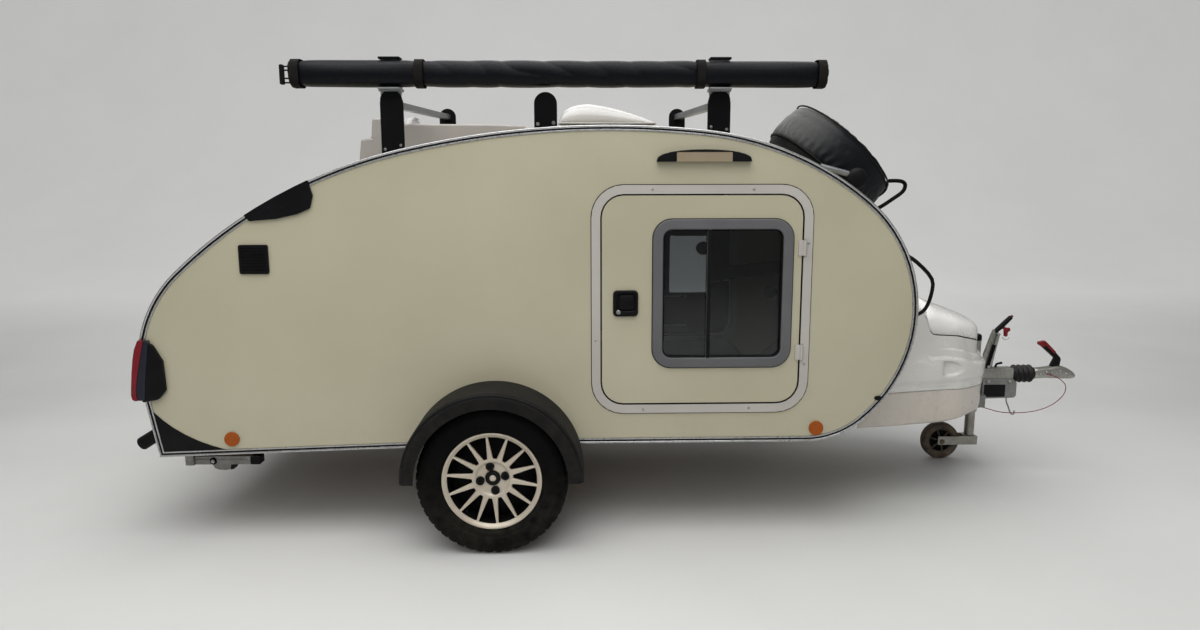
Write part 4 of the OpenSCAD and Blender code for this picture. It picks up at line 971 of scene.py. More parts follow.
class TRAILER_OT_doors(bpy.types.Operator):
    """Fits seals, latches, hinge pins and screws to the doors"""
    bl_idname = "trailer.doors"
    bl_label = "Doors"

    def execute(self, context):
        seal = sizes().seal_width / MM
        for name, side in SIDES:
            body = name + "_door"
            place = on_wall(side)
            for piece, rect, r, slot, rider, profile in (
                    ("frame_gasket_", DOOR, DOOR_R, "black_plastic", "trailer", ((-seal, -0.5),
                        (-seal, 1.6), (-0.8, 3.2), (0.6, 3), (0.6, -0.5))),
                    ("door_seal_", DOOR, DOOR_R, "black_plastic", "trailer", ((DOOR_FRAME - 0.5, -22),
                        (DOOR_FRAME - 0.5, 1), (DOOR_FRAME + 1.2, 3.4), (DOOR_FRAME + seal, 1),
                        (DOOR_FRAME + seal, -22))),
                    ("window_gasket_", WINDOW, WINDOW_R, "black_plastic", body,
                        ((-seal, 1), (-seal, 3.4), (-0.8, 5), (0.6, 5), (0.6, 1))),
                    ("glass_bead_", WINDOW, WINDOW_R, "window_grey", body, ((WINDOW_FRAME - 0.5, -8),
                        (WINDOW_FRAME - 0.5, 4), (WINDOW_FRAME + 2.0, 5), (WINDOW_FRAME + 6.0, 0),
                        (WINDOW_FRAME + 6.0, -8))),
            ):
                ring_round(rect, r, profile, side).make(piece + name, slot, rider, "seal_rubber",
                    smooth=50)
            self.latch(name, side, body)
            self.sash(name, side, body)
            studs("frame_screws_" + name, "zinc", "trailer", "steel_screw", screw_profile(5.0, 2.0), 16,
                wall_spots(side, 5, FRAME_SCREWS))
            pins, leaves = Shape(), Shape()
            for z in (DOOR[1] + share * DOOR_H for share in HINGE_SHARES):
                leaves.slab(rounded_rect(1190.4, z - 30.5, 1209.3, z + 30.5, 3, 3), 2.2, 10.6, place)
                for end in (-1, 1):
                    pins.lathe(HINGE_PIN, 20, round_pin(1215.16, side * 770.0, z, (0, 0, end)))
            pins.make("hinge_pins_" + name, "zinc", "trailer", "steel_screw", smooth=40)
            leaves.make("hinge_leaves_" + name, "frame_white", body, bevel=1.2)
        return {"FINISHED"}

    def sash(self, name, side, body):
        """Black strip on the window's bar, and the round catches inside the glass."""
        place = on_wall(side)
        bar = WINDOW[0] + 0.4 * (WINDOW[2] - WINDOW[0])
        strip = rounded_rect(bar - 6.6, WINDOW[1] + WINDOW_FRAME, bar + 6.6, WINDOW[3] - WINDOW_FRAME,
            2, 3)
        Shape().slab(strip, 11.0, 13.0, place).make("sash_strip_" + name, "window_grey", body,
            "seal_rubber")
        catch = [(0, 0), (26, 0), (26, -10), (22, -16), (0, -18)]
        studs("sash_catches_" + name, "black_plastic", body, None, catch, 32, wall_spots(side, -14.5,
            ((820, 1161), (1091, 988))))

    def latch(self, name, side, body):
        place = on_wall(side)
        x, z = DOOR[0] + LATCH_SHARES[0] * DOOR_W, DOOR[1] + LATCH_SHARES[1] * DOOR_H
        outer = rounded_rect(x - 49, z - 51, x + 49, z + 51, 16)
        well = rounded_rect(x - 34, z - 30, x + 38, z + 40, 12)
        loops = [(outer, 2.3), (outer, 11), (rounded_rect(x - 46, z - 48, x + 46, z + 48, 14), 14.5),
            (rounded_rect(x - 37, z - 33, x + 41, z + 43, 13), 14.8), (well, 12), (well, 4.5)]
        Shape().loft([[place(px, pz, out) for px, pz in loop] for loop, out in loops]).make(
            "latch_plate_" + name, "black_plastic", body, smooth=40, replaces=("latch_" + name,))
        paddle = [(rounded_rect(x - 24, z - 24, x + 36, z + 32, 9), 5),
            (rounded_rect(x - 24, z - 24, x + 36, z + 32, 9), 10),
            (rounded_rect(x - 20, z - 20, x + 32, z + 28, 7), 13)]
        Shape().loft([[place(px, pz, out + 0.05 * (x + 36 - px)) for px, pz in loop]
            for loop, out in paddle]).make("latch_paddle_" + name, "black_plastic", body, smooth=40)
        barrel = [(0, 15.4), (2.2, 15.4), (2.6, 16.4), (7, 16.4), (8.6, 15), (9, 12), (0, 12)]
        studs("latch_lock_" + name, "zinc", body, "steel_screw", barrel, 24,
            wall_spots(side, 0, [(x - 28.0, z - 34.0)]))


LENS_OUTER = ((-1368, 815), (-1383, 780), (-1392, 740), (-1400, 690), (-1406, 640), (-1410, 600),
    (-1407, 582), (-1398, 576))
LENS_INNER = ((-1384, 577), (-1389, 592), (-1389, 620), (-1381, 668), (-1365, 739), (-1347, 808),
    (-1350, 815))
BAND_INNER = ((-1330, 815), (-1330, 798), (-1342, 717), (-1351, 656), (-1359, 584), (-1362, 577))
# Each set of screws: radius and height of the head, sides, how far it stands out, and the places
WALL_SCREWS = (
    ((4.2, 1.6), 14, 8, ((-958, 1077), (-860, 1077), (-958, 1175), (-860, 1175))),
    ((6, 2.4), 16, 11, ((-838, 1318), (-792, 1322))),
)
TAIL_LINE = [(z, x) for x, z in run(0.3, 1.8, -1.0, 60)]


class TRAILER_OT_fittings(bpy.types.Operator):
    """Adds the screws, bands and small fittings of the walls"""
    bl_idname = "trailer.fittings"
    bl_label = "Wall fittings"

    def execute(self, context):
        for name, side in SIDES:
            place = on_wall(side)
            screws = Shape()
            for size, sides, out, spots in WALL_SCREWS:
                for spot in wall_spots(side, out, spots):
                    screws.lathe(screw_profile(*size), sides, round_pin(*spot))
            screws.make("wall_screws_" + name, "black_plastic", "trailer", smooth=40)
            tail = tuple((level(z, TAIL_LINE), z) for _, z in reversed(LENS_OUTER))
            lens = Shape().slab(LENS_OUTER + LENS_INNER, 2.5, 25.0, place)
            lens.slab(LENS_OUTER + tail, -24.0, 3.0, place)
            lens.make("tail_lens_" + name, "lamp_red", "trailer", smooth=40, bevel=4.0, steps=3,
                replaces=("lamp_lenses",) if side < 0 else ())
            Shape().slab(LENS_INNER + BAND_INNER, 2.5, 24.0, place).make("lamp_band_" + name,
                "lamp_red", "trailer", "smoked_lens", smooth=40, bevel=2.5)
            stud = [(x * 1.5, z) for x, z in rounded_rect(-10, -9.0, 10, 9.0, 8.9, 8)]
            lean = math.radians(4)
            loops = [(1, 0), (1, 5), (0.8, 8), (0.35, 9.5)]
            rings = [[place(1534 + s * (x * math.cos(lean) - z * math.sin(lean)),
                558 + s * (x * math.sin(lean) + z * math.cos(lean)), out) for x, z in stud]
                for s, out in loops]
            Shape().loft(rings).make("front_stud_" + name, "black_plastic", "trailer", smooth=50)
        return {"FINISHED"}


# Nose locker

NOSE_X, NOSE_LEN = 1677.23, 590.0
NOSE_PLAN = ((-0.2, 489), (0, 467), (0.2, 446), (0.45, 418), (0.62, 395), (0.76, 348), (0.86, 300),
    (0.93, 234), (0.975, 160), (0.994, 80), (1, 0))
HOOD_X, COWL_Z, LOCKER_FLOOR, SKIRT_Z = 1866.0, 850.0, 517.0, 497.0
SEAM = ((1856, COWL_Z), (1862, 842), (1868, 815), (1880, 774), (1905, 748), (1950, 742), (2050, 733),
    (2150, 708), (2218, 690), (2262, 682))
# Heights and how much of its length the locker has there; then the ledges' edges along it
NOSE_PULL = ((345, 0.95), (362, 0.975), (395, 0.992), (533, 1), (593, 0.99), (733, 0.985))
LEDGE_HIGH = ((1950, 684), (2014, 682), (2080, 670), (2140, 646), (2262, 632))
LEDGE_LOW = ((1800, 630), (1892, 648), (1977, 648), (2064, 637), (2123, 612), (2262, 600))


def nose_plan():
    """The locker's outline from above as shares of its length, half widths and outward directions."""
    right = [(p[0], -p[1]) for p in smooth_path([(u, w, 0) for u, w in NOSE_PLAN], 8)]
    loop = right + [(u, -y) for u, y in reversed(right[:-1])]
    flat = [(u * NOSE_LEN, y) for u, y in loop]
    out = []
    for i, (u, y) in enumerate(loop):
        a, b = flat[max(i - 1, 0)], flat[min(i + 1, len(flat) - 1)]
        ahead = Vector((b[0] - a[0], b[1] - a[1])).normalized()
        out.append((u, y, ahead[1], -ahead[0]))
    return out


def nose_reach(u, z):
    pull = level(z, NOSE_PULL)
    x = NOSE_X + u * NOSE_LEN * (1 + (pull - 1) * ease(u / 0.7))
    return max(x, front_face(max(z, 540.0)) + 1.0)


def nose_seam(x):
    return level(x, SEAM)


def nose_step(_):
    """Height of the step between the locker's skirt and its tub, the same all along."""
    return SKIRT_Z


def nose_foot(x):
    return 345.0 + 32.0 * ease((x - 1940) / 260)


def nose_swell(x, z):
    """How far the moulded side stands out: two ledges, the belly, the skirt's steps and the scoop."""
    high, low = level(x, LEDGE_HIGH), level(x, LEDGE_LOW)
    swell = -4.0 - 30.0 * ease((x - 1740) / 260)
    swell += 15.0 * ease((x - 1925) / 160) * ease((high - z) / 10)
    swell += 19.0 * ease((x - 1790) / 150) * ease((low - z) / 12)
    swell += 5.0 * math.exp(-((z - 585) / 36) ** 2) * ease((x - 1790) / 150)
    swell -= 6.0 * ease((548 - z) / 26) + 3.0 * ease((497 - z) / 4)
    along = (x - 1962) / 88
    if 0 <= along < 1:
        half = 37 * math.sqrt(1 - along ** 2)
        swell -= 24 * (1 - 0.8 * along) * ease((half - abs(z - 592)) / 8) * ease(along * 88 / 5)
    return swell


def hood_top(x, y):
    return min(876 - 0.385 * (x - 1947), 862 + 0.8 * (x - HOOD_X)) - 6 * (y / 200) ** 2


# Each skin of the tub: name, its lower and upper edge, rows, finish and the node it stands for
NOSE_SKINS = (
    # The skirt takes the gelcoat's darker copy: painted shade low on the nose
    ("nose_skirt", nose_foot, nose_step, 16, "gelcoat_low", ()),
    ("nose_tub", nose_step, nose_seam, 100, "gelcoat", ("nose_box",)),
)


class TRAILER_OT_nose(bpy.types.Operator):
    """Moulds the nose locker's tub, cowl, hood and floor"""
    bl_idname = "trailer.nose"
    bl_label = "Nose locker"

    def execute(self, context):
        plan = nose_plan()
        self.tub(plan)
        self.cowl()
        self.hood(plan)
        floor = [(nose_reach(u, LOCKER_FLOOR), y) for u, y, _, _ in plan]
        loop = [(x - 12 * ease((x - 1900) / 300), y * 0.97) for x, y in floor[::4]]
        Shape().loft([[at(x, y, z) for x, y in loop] for z in (LOCKER_FLOOR, LOCKER_FLOOR + 5)]).make(
            "locker_floor", "gelcoat", "trailer", smooth=30)
        pin = [(0, 55), (5, 55), (6, 54), (6, -54), (5, -55), (0, -55)]
        spots = [(1850.09, y, 879, (0, 1, 0)) for y in (-180, 180)]
        studs("hood_hinges", "black_plastic", "trailer", None, pin, 20, spots)
        return {"FINISHED"}

    def tub(self, plan):
        for name, low, high, rows, look, hidden in NOSE_SKINS:
            rings = []
            for k in range(rows + 1):
                ring = []
                for u, y, nx, ny in plan:
                    x = nose_reach(u, 560.0)
                    z = low(x) + (high(x) - 2.5 - low(x)) * k / rows
                    out = nose_swell(x, z)
                    ring.append(at(nose_reach(u, z) + nx * out, y + ny * out, z))
                rings.append(ring)
            thicken(Shape().loft(rings, around=False).make(name, "gelcoat", "trailer", look, smooth=60,
                replaces=hidden))

    def cowl(self):
        rings = []
        for x in np.linspace(front_face(COWL_Z) + 2.0, 1858.0, 24):
            u = (x - NOSE_X) / NOSE_LEN
            half = level(u, NOSE_PLAN) + nose_swell(x, COWL_Z)
            ring = []
            for k in range(41):
                across, up = squared(math.pi * k / 40, 0.4, 0.4)
                ring.append(at(x, -half * across, COWL_Z - 4 + 12 * up))
            rings.append(ring)
        thicken(Shape().loft(rings, around=False).make("nose_cowl", "gelcoat", "trailer", smooth=50))

    def hood(self, plan):
        rim = [(nose_reach(u, 720.0), y, nx, ny) for u, y, nx, ny in plan]
        rim = [p for p in rim if p[0] >= HOOD_X]
        steps = 18
        rings = []
        for k in range(steps + 1):
            a = math.pi / 2 * k / steps
            inward, rise = 1 - math.cos(a) ** 0.36, math.sin(a) ** 0.4
            ring = []
            for x, y, nx, ny in rim:
                low = nose_seam(x) + 2.5
                out = nose_swell(x, low)
                ex, ey = x + nx * out, y + ny * out
                px = ex + (HOOD_X + (x - HOOD_X) * 0.5 - ex) * inward
                py = ey * (1 - inward)
                ring.append(at(px, py, low + (hood_top(px, py) - low) * rise))
            rings.append(ring)
        # The hood takes the lit copy of the gelcoat: painted light on its top
        hood = Shape().loft(rings, around=False).make("nose_hood", "gelcoat", "locker_lid",
            "hood_white", smooth=60, replaces=("nose_lid",))
        thicken(hood)


# Drawbar, coupling and brake lever

HEAD_SECTIONS = ((2574, 447, 501, 27), (2600, 450, 502, 28), (2646, 452, 505, 28), (2672, 451, 511, 29),
    (2695, 450, 515, 31), (2725, 449, 512, 34), (2752, 448, 502, 35), (2772, 449, 489, 32),
    (2788, 453, 474, 22), (2797, 457, 466, 9))
LEVER = ((2668, 508), (2712, 508), (2717, 546), (2711, 558), (2634, 637), (2604, 631), (2605, 622),
    (2687, 551))
BRAKE_PLATE = ((2343, 500), (2374, 500), (2392, 600), (2404, 664), (2396, 684), (2372, 698),
    (2362, 672), (2330, 570))


class TRAILER_OT_tongue(bpy.types.Operator):
    """Makes the coupling head, levers, bellows and the fittings of the drawbar"""
    bl_idname = "trailer.tongue"
    bl_label = "Drawbar"

    def execute(self, context):
        self.head()
        self.levers()
        folds = [(31, 0)]
        for k in range(4):
            x = 6 + 25 * k
            folds += [(32, x), (43, x + 7), (44.5, x + 11), (43, x + 15), (33, x + 20)]
        folds += [(31, 110), (28, 110), (28, 0)]
        Shape().lathe(folds, 48, round_pin(2474.0, 0, DRAWBAR_Z, (1, 0, 0))).make("coupling_bellows",
            "bellows_rubber", "trailer", smooth=70, replaces=("bellows",))
        box = rounded_rect(-31, DRAWBAR_Z - 31, 31, DRAWBAR_Z + 31, 7)
        Shape().loft([[at(x, y, z) for y, z in box] for x in (2270, 2474)]).make("drawbar_sleeve",
            "zinc", "trailer", smooth=40, bevel=1.5)
        self.housing()
        return {"FINISHED"}

    def head(self):
        rings = []
        for x, low, top, half in HEAD_SECTIONS:
            ring = []
            for k in range(28):
                across, up = squared(2 * math.pi * k / 28, 0.6, 0.6)
                ring.append(at(x, half * across, (low + top) / 2 + (top - low) / 2 * up))
            rings.append(ring)
        Shape().loft(rings).make("coupling_shell", "zinc", "trailer", smooth=60, subsurf=True,
            replaces=("coupling_head",))
        bolts = Shape()
        for side in (-1, 1):
            for x, z, r in ((2612, 476, 8), (2640, 486, 6), (2668, 478, 8), (2708, 488, 9),
                    (2738, 478, 6)):
                bolts.lathe([(0, 6), (r * 0.7, 6), (r, 4.6), (r, -4), (0, -4)], 6,
                    round_pin(x, side * 30.5, z, (0, side, 0)))
        bolts.make("coupling_bolts", "zinc", "trailer", "steel_screw", smooth=20)

    def levers(self):
        tip = ((2646, 622), (2634, 639), (2602, 632), (2603, 619), (2626, 606))
        strip = ((2630, 622), (2642, 630), (2690, 583), (2680, 574))
        plates("trailer", in_plane(0), (
            ("coupling_handle", "black_plastic", None, 3, -12, 12, LEVER, "coupling_lever"),
            ("handle_tip", "black_plastic", "red_grip", 3, -13.2, 13.2, tip),
            ("handle_strip", "black_plastic", "red_grip", 1.5, -12.8, 12.8, strip),
            ("brake_plate", "zinc", None, 1.5, -7, 7, BRAKE_PLATE, "handbrake_lever"),
        ))
        grip = [at(2380, 0, 684), at(2404, 0, 706), at(2434, 0, 736), at(2456, 0, 758)]
        Shape().tube(grip, lambda f: 11.0 + 1.5 * math.sin(f * 3.0), 16).make("brake_grip",
            "black_plastic", "trailer", smooth=60, bevel=2.0)
        Shape().tube([at(2455, 0, 757), at(2463, 0, 765)], 6.5, 14).make("brake_button",
            "black_plastic", "trailer", "red_grip", smooth=50, bevel=1.5)
        knob = ((2412, 702), (2424, 694), (2426, 664), (2434, 660), (2441, 668), (2440, 684),
            (2452, 690), (2450, 706), (2436, 704), (2424, 712))
        Shape().slab(knob, -9.0, 9.0, in_plane(-4)).make("brake_trigger", "black_plastic", "trailer",
            "red_grip", bevel=3.0)
        ring = [at(2436 + 17 * math.cos(a), -4, 660 + 14 * math.sin(a))
            for a in np.linspace(3.2, 6.0, 14)]
        Shape().tube(ring, 1.6, 8).make("trigger_wire", "zinc", "trailer", "steel_screw", smooth=60)
        Shape().tube([at(2347, -14, 498), at(2377, -14, 622)], 8.0, 16).make("gas_strut", "black_steel",
            "trailer", smooth=50)
        Shape().tube([at(2374, -14, 610), at(2390, -14, 672)], 3.5, 12).make("strut_rod", "zinc",
            "trailer", "steel_screw", smooth=50)
        pin = [(0, 12), (6, 12), (7.5, 10), (7.5, -18), (0, -18)]
        spots = [(x, -12, z, (0, -1, 0)) for x, z in ((2391, 674), (2352, 512))]
        studs("lever_pins", "zinc", "trailer", "steel_screw", pin, 16, spots)

    def housing(self):
        body = ((2318, 356), (2482, 360), (2490, 372), (2490, 438), (2466, 458), (2318, 456))
        plate = rounded_rect(2326, 366, 2432, 428, 4, 4)
        plates("trailer", in_plane(0), (
            ("overrun_case", "zinc", "galvanised", 4, -41, 41, body, "overrun_housing"),
            ("blank_plate", "black_plastic", None, 0.4, -42.4, -40, plate),
        ))
        bolts = Shape()
        for x in (2344, 2452):
            bolts.lathe([(0, 9), (10, 9), (12, 7.4), (12, -4), (0, -4)], 6,
                round_pin(x, -18, 460, (0, 0, 1)))
            bolts.lathe([(0, 8), (7, 8), (8.5, 6.6), (8.5, -3), (0, -3)], 6,
                round_pin(x, -41, 444, (0, -1, 0)))
        bolts.make("case_bolts", "zinc", "trailer", "steel_screw", smooth=20)
        hook = smooth_path([at(2452, -20, 362), at(2454, -20, 336), at(2462, -20, 318),
            at(2474, -20, 288), at(2484, -20, 272), at(2495, -20, 272), at(2498, -20, 290)], 5)
        Shape().tube(hook, 3.6, 10).make("cable_hook", "zinc", "trailer", "steel_screw", smooth=60)
        tab = ((2334, 360), (2352, 360), (2344, 338))
        Shape().slab(tab, -22.0, -16.0, in_plane(0)).make("case_tab", "zinc", "trailer", bevel=1.0)
        clip = [at(2392, -6, 508), at(2398, -6, 524), at(2424, -6, 530)]
        Shape().tube(clip, 6.0, 12).make("socket_clip", "black_plastic", "trailer", smooth=60)


# Jockey wheel and corner steadies

JOCKEY = (2349.23, 130)
JOCKEY_HUB = (2197.23, 130, 95)
RIB_FOOT = ((18, -4, 4), (58, -5, 4), (58, 5, 4), (18, 4, 4))
RIB_FACE = ((18, -2, 20), (58, -3, 12), (58, 3, 12), (18, 2, 20))
STEADY_Y, STEADY_Z = 660.0, 298.0
STEADY_SHOE = ((-1168, 283), (-1160, 264), (-1142, 256), (-1112, 254), (-1082, 262), (-1076, 283))
STEADY_WASHER = ((8, 3), (13, 3), (15, 1.5), (15, -2), (8, -2))
STEADY_BOLT = ((0, 9), (7, 9), (8.6, 7.4), (8.6, -2), (0, -2))
STEADY_TOE = ((-1094, 256), (-1078, 260), (-1070, 282), (-1090, 282))


class TRAILER_OT_jockey(bpy.types.Operator):
    """Makes the jockey wheel's tyre, hub, nuts, collar and crank"""
    bl_idname = "trailer.jockey"
    bl_label = "Jockey wheel"

    def execute(self, context):
        round_hub = round_pin(*JOCKEY_HUB, (0, 1, 0))
        half = [(56, 13), (60, 20), (70, 24), (85, 25), (91, 22.5), (94.2, 15), (95, 6)]
        Shape().lathe(half + [(r, -h) for r, h in reversed(half)], 64, round_hub).make("jockey_tyre",
            "rusty_wheel", "jockey_roller", smooth=50, replaces=("jockey_wheel",))
        disc = [(10.4, 23), (17, 23), (19, 12), (30, 5), (54, 6), (59, 14), (59, -14), (54, -6),
            (30, -5), (19, -12), (17, -23), (10.4, -23)]
        Shape().lathe(disc, 48, round_hub).make("jockey_hub", "rusty_wheel", "jockey_roller",
            "black_steel", smooth=40)
        ribs = Shape()
        for k in range(6):
            a = math.pi / 3 * k
            for h in (-1, 1):
                ribs.loft([[round_hub(r, a + turn / r, h * out) for r, turn, out in loop]
                    for loop in (RIB_FOOT, RIB_FACE)])
        ribs.make("jockey_ribs", "rusty_wheel", "jockey_roller", smooth=30, bevel=1.0)
        nut = [(0, 9), (8, 9), (11, 7), (11, 0.2), (15, 0), (15, -2), (0, -2)]
        x, y, z = JOCKEY_HUB
        spots = [(x, y + side * 36.0, z, (0, side, 0)) for side in (-1, 1)]
        studs("fork_nuts", "zinc", "jockey_swivel", "rusty_iron", nut, 6, spots, smooth=20)
        upright = round_pin(*JOCKEY, 0.0, (0, 0, 1))
        collar = [(30.2, 300), (37, 302), (38, 330), (38, 366), (37, 394), (30.2, 396)]
        Shape().lathe(collar, 40, upright).make("jockey_collar", "zinc", "trailer", smooth=40)
        Shape().tube([at(2349, 166, 348), at(2349, 196, 348)], 6.0, 14).make("collar_screw", "zinc",
            "trailer", "steel_screw", smooth=50)
        Shape().tube([at(2349, 194, 316), at(2349, 194, 380)], 5.0, 12).make("collar_handle", "zinc",
            "trailer", smooth=50)
        cap = [(0, 652), (20, 652), (28, 648), (31, 640), (31, 620), (0, 620)]
        Shape().lathe(cap, 32, upright).make("jockey_cap", "zinc", "trailer", "black_plastic",
            smooth=40)
        crank = smooth_path([at(2349, 130, 648), at(2349, 132, 660), at(2349, 144, 668),
            at(2349, 222, 668)], 6)
        Shape().tube(crank, 6.0, 12).make("jockey_crank", "zinc", "trailer", smooth=60)
        grip = [at(2349, 216, 672), at(2349, 216, 640), at(2349, 216, 592)]
        Shape().tube(grip, lambda f: 9 + 3 * math.sin(3 * f), 16).make("crank_grip", "zinc", "trailer",
            "black_plastic", smooth=60)
        return {"FINISHED"}


class TRAILER_OT_steadies(bpy.types.Operator):
    """Makes the corner steadies' feet, bolts and brackets"""
    bl_idname = "trailer.steadies"
    bl_label = "Corner steadies"

    def execute(self, context):
        for name, side in SIDES:
            body = name + "_steady"
            place = in_plane(side * STEADY_Y)
            foot = rounded_rect(-1010, STEADY_Z - 19, -968, STEADY_Z + 17, 6)
            plates(body, place, (
                ("steady_foot_" + name, "galvanised", "seal_rubber", 4, -24, 24, foot),
                ("steady_shoe_" + name, "galvanised", None, 3, -16, 16, STEADY_SHOE),
                ("steady_toe_" + name, "galvanised", "seal_rubber", 2, -18, 18, STEADY_TOE),
            ))
            spots = [(-1158, side * (STEADY_Y + 22), 296, (0, side, 0))]
            studs("steady_washer_" + name, "galvanised", body, "black_steel", STEADY_WASHER, 24, spots)
            studs("steady_bolt_" + name, "galvanised", body, "steel_screw", STEADY_BOLT, 6, spots,
                smooth=20)
            ridge = rounded_rect(-1255, STEADY_Z - 6, -1020, STEADY_Z + 5, 5, 4)
            Shape().slab(ridge, side * 20.0, side * 24.0, place).make("steady_rib_" + name,
                "galvanised", body, bevel=1.5)
            spout = [at(x, side * 560, z) for x, z in ((-1506, 332), (-1470, 354), (-1420, 384),
                (-1345, 426))]
            Shape().tube(spout, 28.0, 28).make("rear_tube_" + name, "black_plastic", "trailer",
                smooth=50, bevel=4.0)
        return {"FINISHED"}


# Roof rack and awning

BAG_Y, BAG_LOW, BAG_TOP = -698.0, 1770.85, 1874.85
CLAMPS = (-374, 880)
BRACKETS = ((CLAMPS[0], -1), (212, -1), (CLAMPS[1], -1), (CLAMPS[0], 1), (CLAMPS[1], 1))
STRAPS = (-722, -261, 805, 1266)
ROOF_LINE = run(2.2, 5.2, 0.0, 90)


def roof_z(x):
    return level(x, ROOF_LINE)


class TRAILER_OT_rack(bpy.types.Operator):
    """Bolts the brackets down and clamps the awning bag to them"""
    bl_idname = "trailer.rack"
    bl_label = "Roof rack"

    def execute(self, context):
        bolt = [(0, 4.5), (4.4, 4.5), (5.6, 3.4), (5.6, 0.8), (7, 0.6), (7, -3), (0, -3)]
        spots = [(x + step, side * 702.5, roof_z(x + step) + 17, (0, side, 0)) for x, side in BRACKETS
            for step in (-30, 30)]
        studs("bracket_bolts", "rack_alu", "trailer", "steel_screw", bolt, 12, spots, smooth=30)
        for n, x in enumerate(CLAMPS):
            plate = [(x - 43, roof_z(x - 43) + 6), (x + 43, roof_z(x + 43) + 6)]
            plate += [(x + 42 * math.cos(a), 1726 + 38 * math.sin(a))
                for a in np.linspace(0, math.pi, 19)]
            front = rounded_rect(x - 40, 1742, x + 40, 1768.5, 3, 3)
            lip = rounded_rect(x - 40, 1762, x + 40, 1769.0, 2, 3)
            top = rounded_rect(x - 41, 1875.5, x + 41, 1884.0, 3, 3)
            plates("trailer", in_plane(0), (
                ("saddle_front_%d" % n, "rack_alu", None, 0.8, -701, -696, front),
                ("bracket_plate_%d" % n, "black_steel", None, 0.8, -705.5, -702, plate),
                ("saddle_%d" % n, "rack_alu", None, 0.8, -746, -650, lip),
                ("clamp_top_%d" % n, "rack_alu", "black_steel", 1.5, -722, -674, top),
            ))
            rods = Shape()
            for step in (-30, 30):
                rods.tube([at(x + step, -648, 1764), at(x + step, -648, 1889)], 3.0, 10)
            rods.make("clamp_rods_%d" % n, "rack_alu", "trailer", "steel_screw", smooth=50)
        return {"FINISHED"}


# Soft pieces

CLOTH = dict(quality=4, mass=0.2, bending_stiffness=0.4, use_pressure=True, uniform_pressure_force=4.0,
    vertex_group_mass="held")
CLOTH_FRAMES = 20


def bake(piece):
    """Keeps the shape that the modifiers give."""
    graph = bpy.context.evaluated_depsgraph_get()
    done = bpy.data.meshes.new_from_object(piece.evaluated_get(graph), depsgraph=graph)
    piece.modifiers.clear()
    piece.data = done


def soft_copy(name, node, grid, shrink):
    """A fine and slightly smaller copy of a soft solid."""
    source = frame["nodes"][node]
    mesh = source.data.copy()
    mesh.transform(source.matrix_world)
    piece = bpy.data.objects.new(name, mesh)
    bpy.context.scene.collection.objects.link(piece)
    remesh = piece.modifiers.new("grid", "REMESH")
    remesh.mode = "VOXEL"
    remesh.voxel_size = grid
    bake(piece)
    for v, normal in zip(piece.data.vertices, [n.vector.copy() for n in piece.data.vertex_normals]):
        v.co -= normal * shrink
    return piece


def puff(piece, reach, held):
    """Blows the cloth up, except where it is held, and keeps each point within reach of its place."""
    scene = bpy.context.scene
    before = [v.co.copy() for v in piece.data.vertices]
    group = piece.vertex_groups.new(name="held")
    group.add([i for i, p in enumerate(before) if held(p)], 1.0, "REPLACE")
    cloth = piece.modifiers.new("cloth", "CLOTH")
    for key, value in CLOTH.items():
        setattr(cloth.settings, key, value)
    cloth.settings.effector_weights.gravity = 0.0
    cloth.collision_settings.use_collision = False
    for number in range(1, CLOTH_FRAMES + 1):
        scene.frame_set(number)
    bake(piece)
    scene.frame_set(1)
    for v, p in zip(piece.data.vertices, before):
        step = v.co - p
        if step.length > reach:
            v.co = p + step.normalized() * reach


def crease(piece, depth):
    """Moves each point along its normal by the depth at its place, in millimetres from the axle."""
    normals = [n.vector.copy() for n in piece.data.vertex_normals]
    for v, normal in zip(piece.data.vertices, normals):
        v.co += normal * depth((v.co.x - AXLE) / MM, v.co.y / MM, v.co.z / MM) * MM


def soften(piece):
    piece.data.shade_smooth()
    smooth_skin(piece)


def bag_folds(x, y, z):
    """Pinch under the straps, and slanting creases across the stretch between the inner straps."""
    depth = 1.6 * ripple.noise(Vector((x * 0.005, y * 0.02, z * 0.02)))
    for strap in STRAPS:
        depth -= 4.0 * math.exp(-((x - strap) / 24) ** 2)
    slack = ease((x - STRAPS[1]) / 60) * ease((STRAPS[2] - x) / 60)
    slant = x + 1.5 * (z - 1820) + 60 * ripple.noise(Vector((x * 0.004, z * 0.012, 0)))
    crest = abs(math.sin(slant * 0.021 + 1.5 * ripple.noise(Vector((x * 0.006, 0, 3)))))
    deep = 0.4 + 0.6 * ease(ripple.noise(Vector((x * 0.004, 5, 0))) + 0.5)
    depth += 4.5 * slack * (crest ** 0.6 - 0.7) * deep
    return depth - 2.0


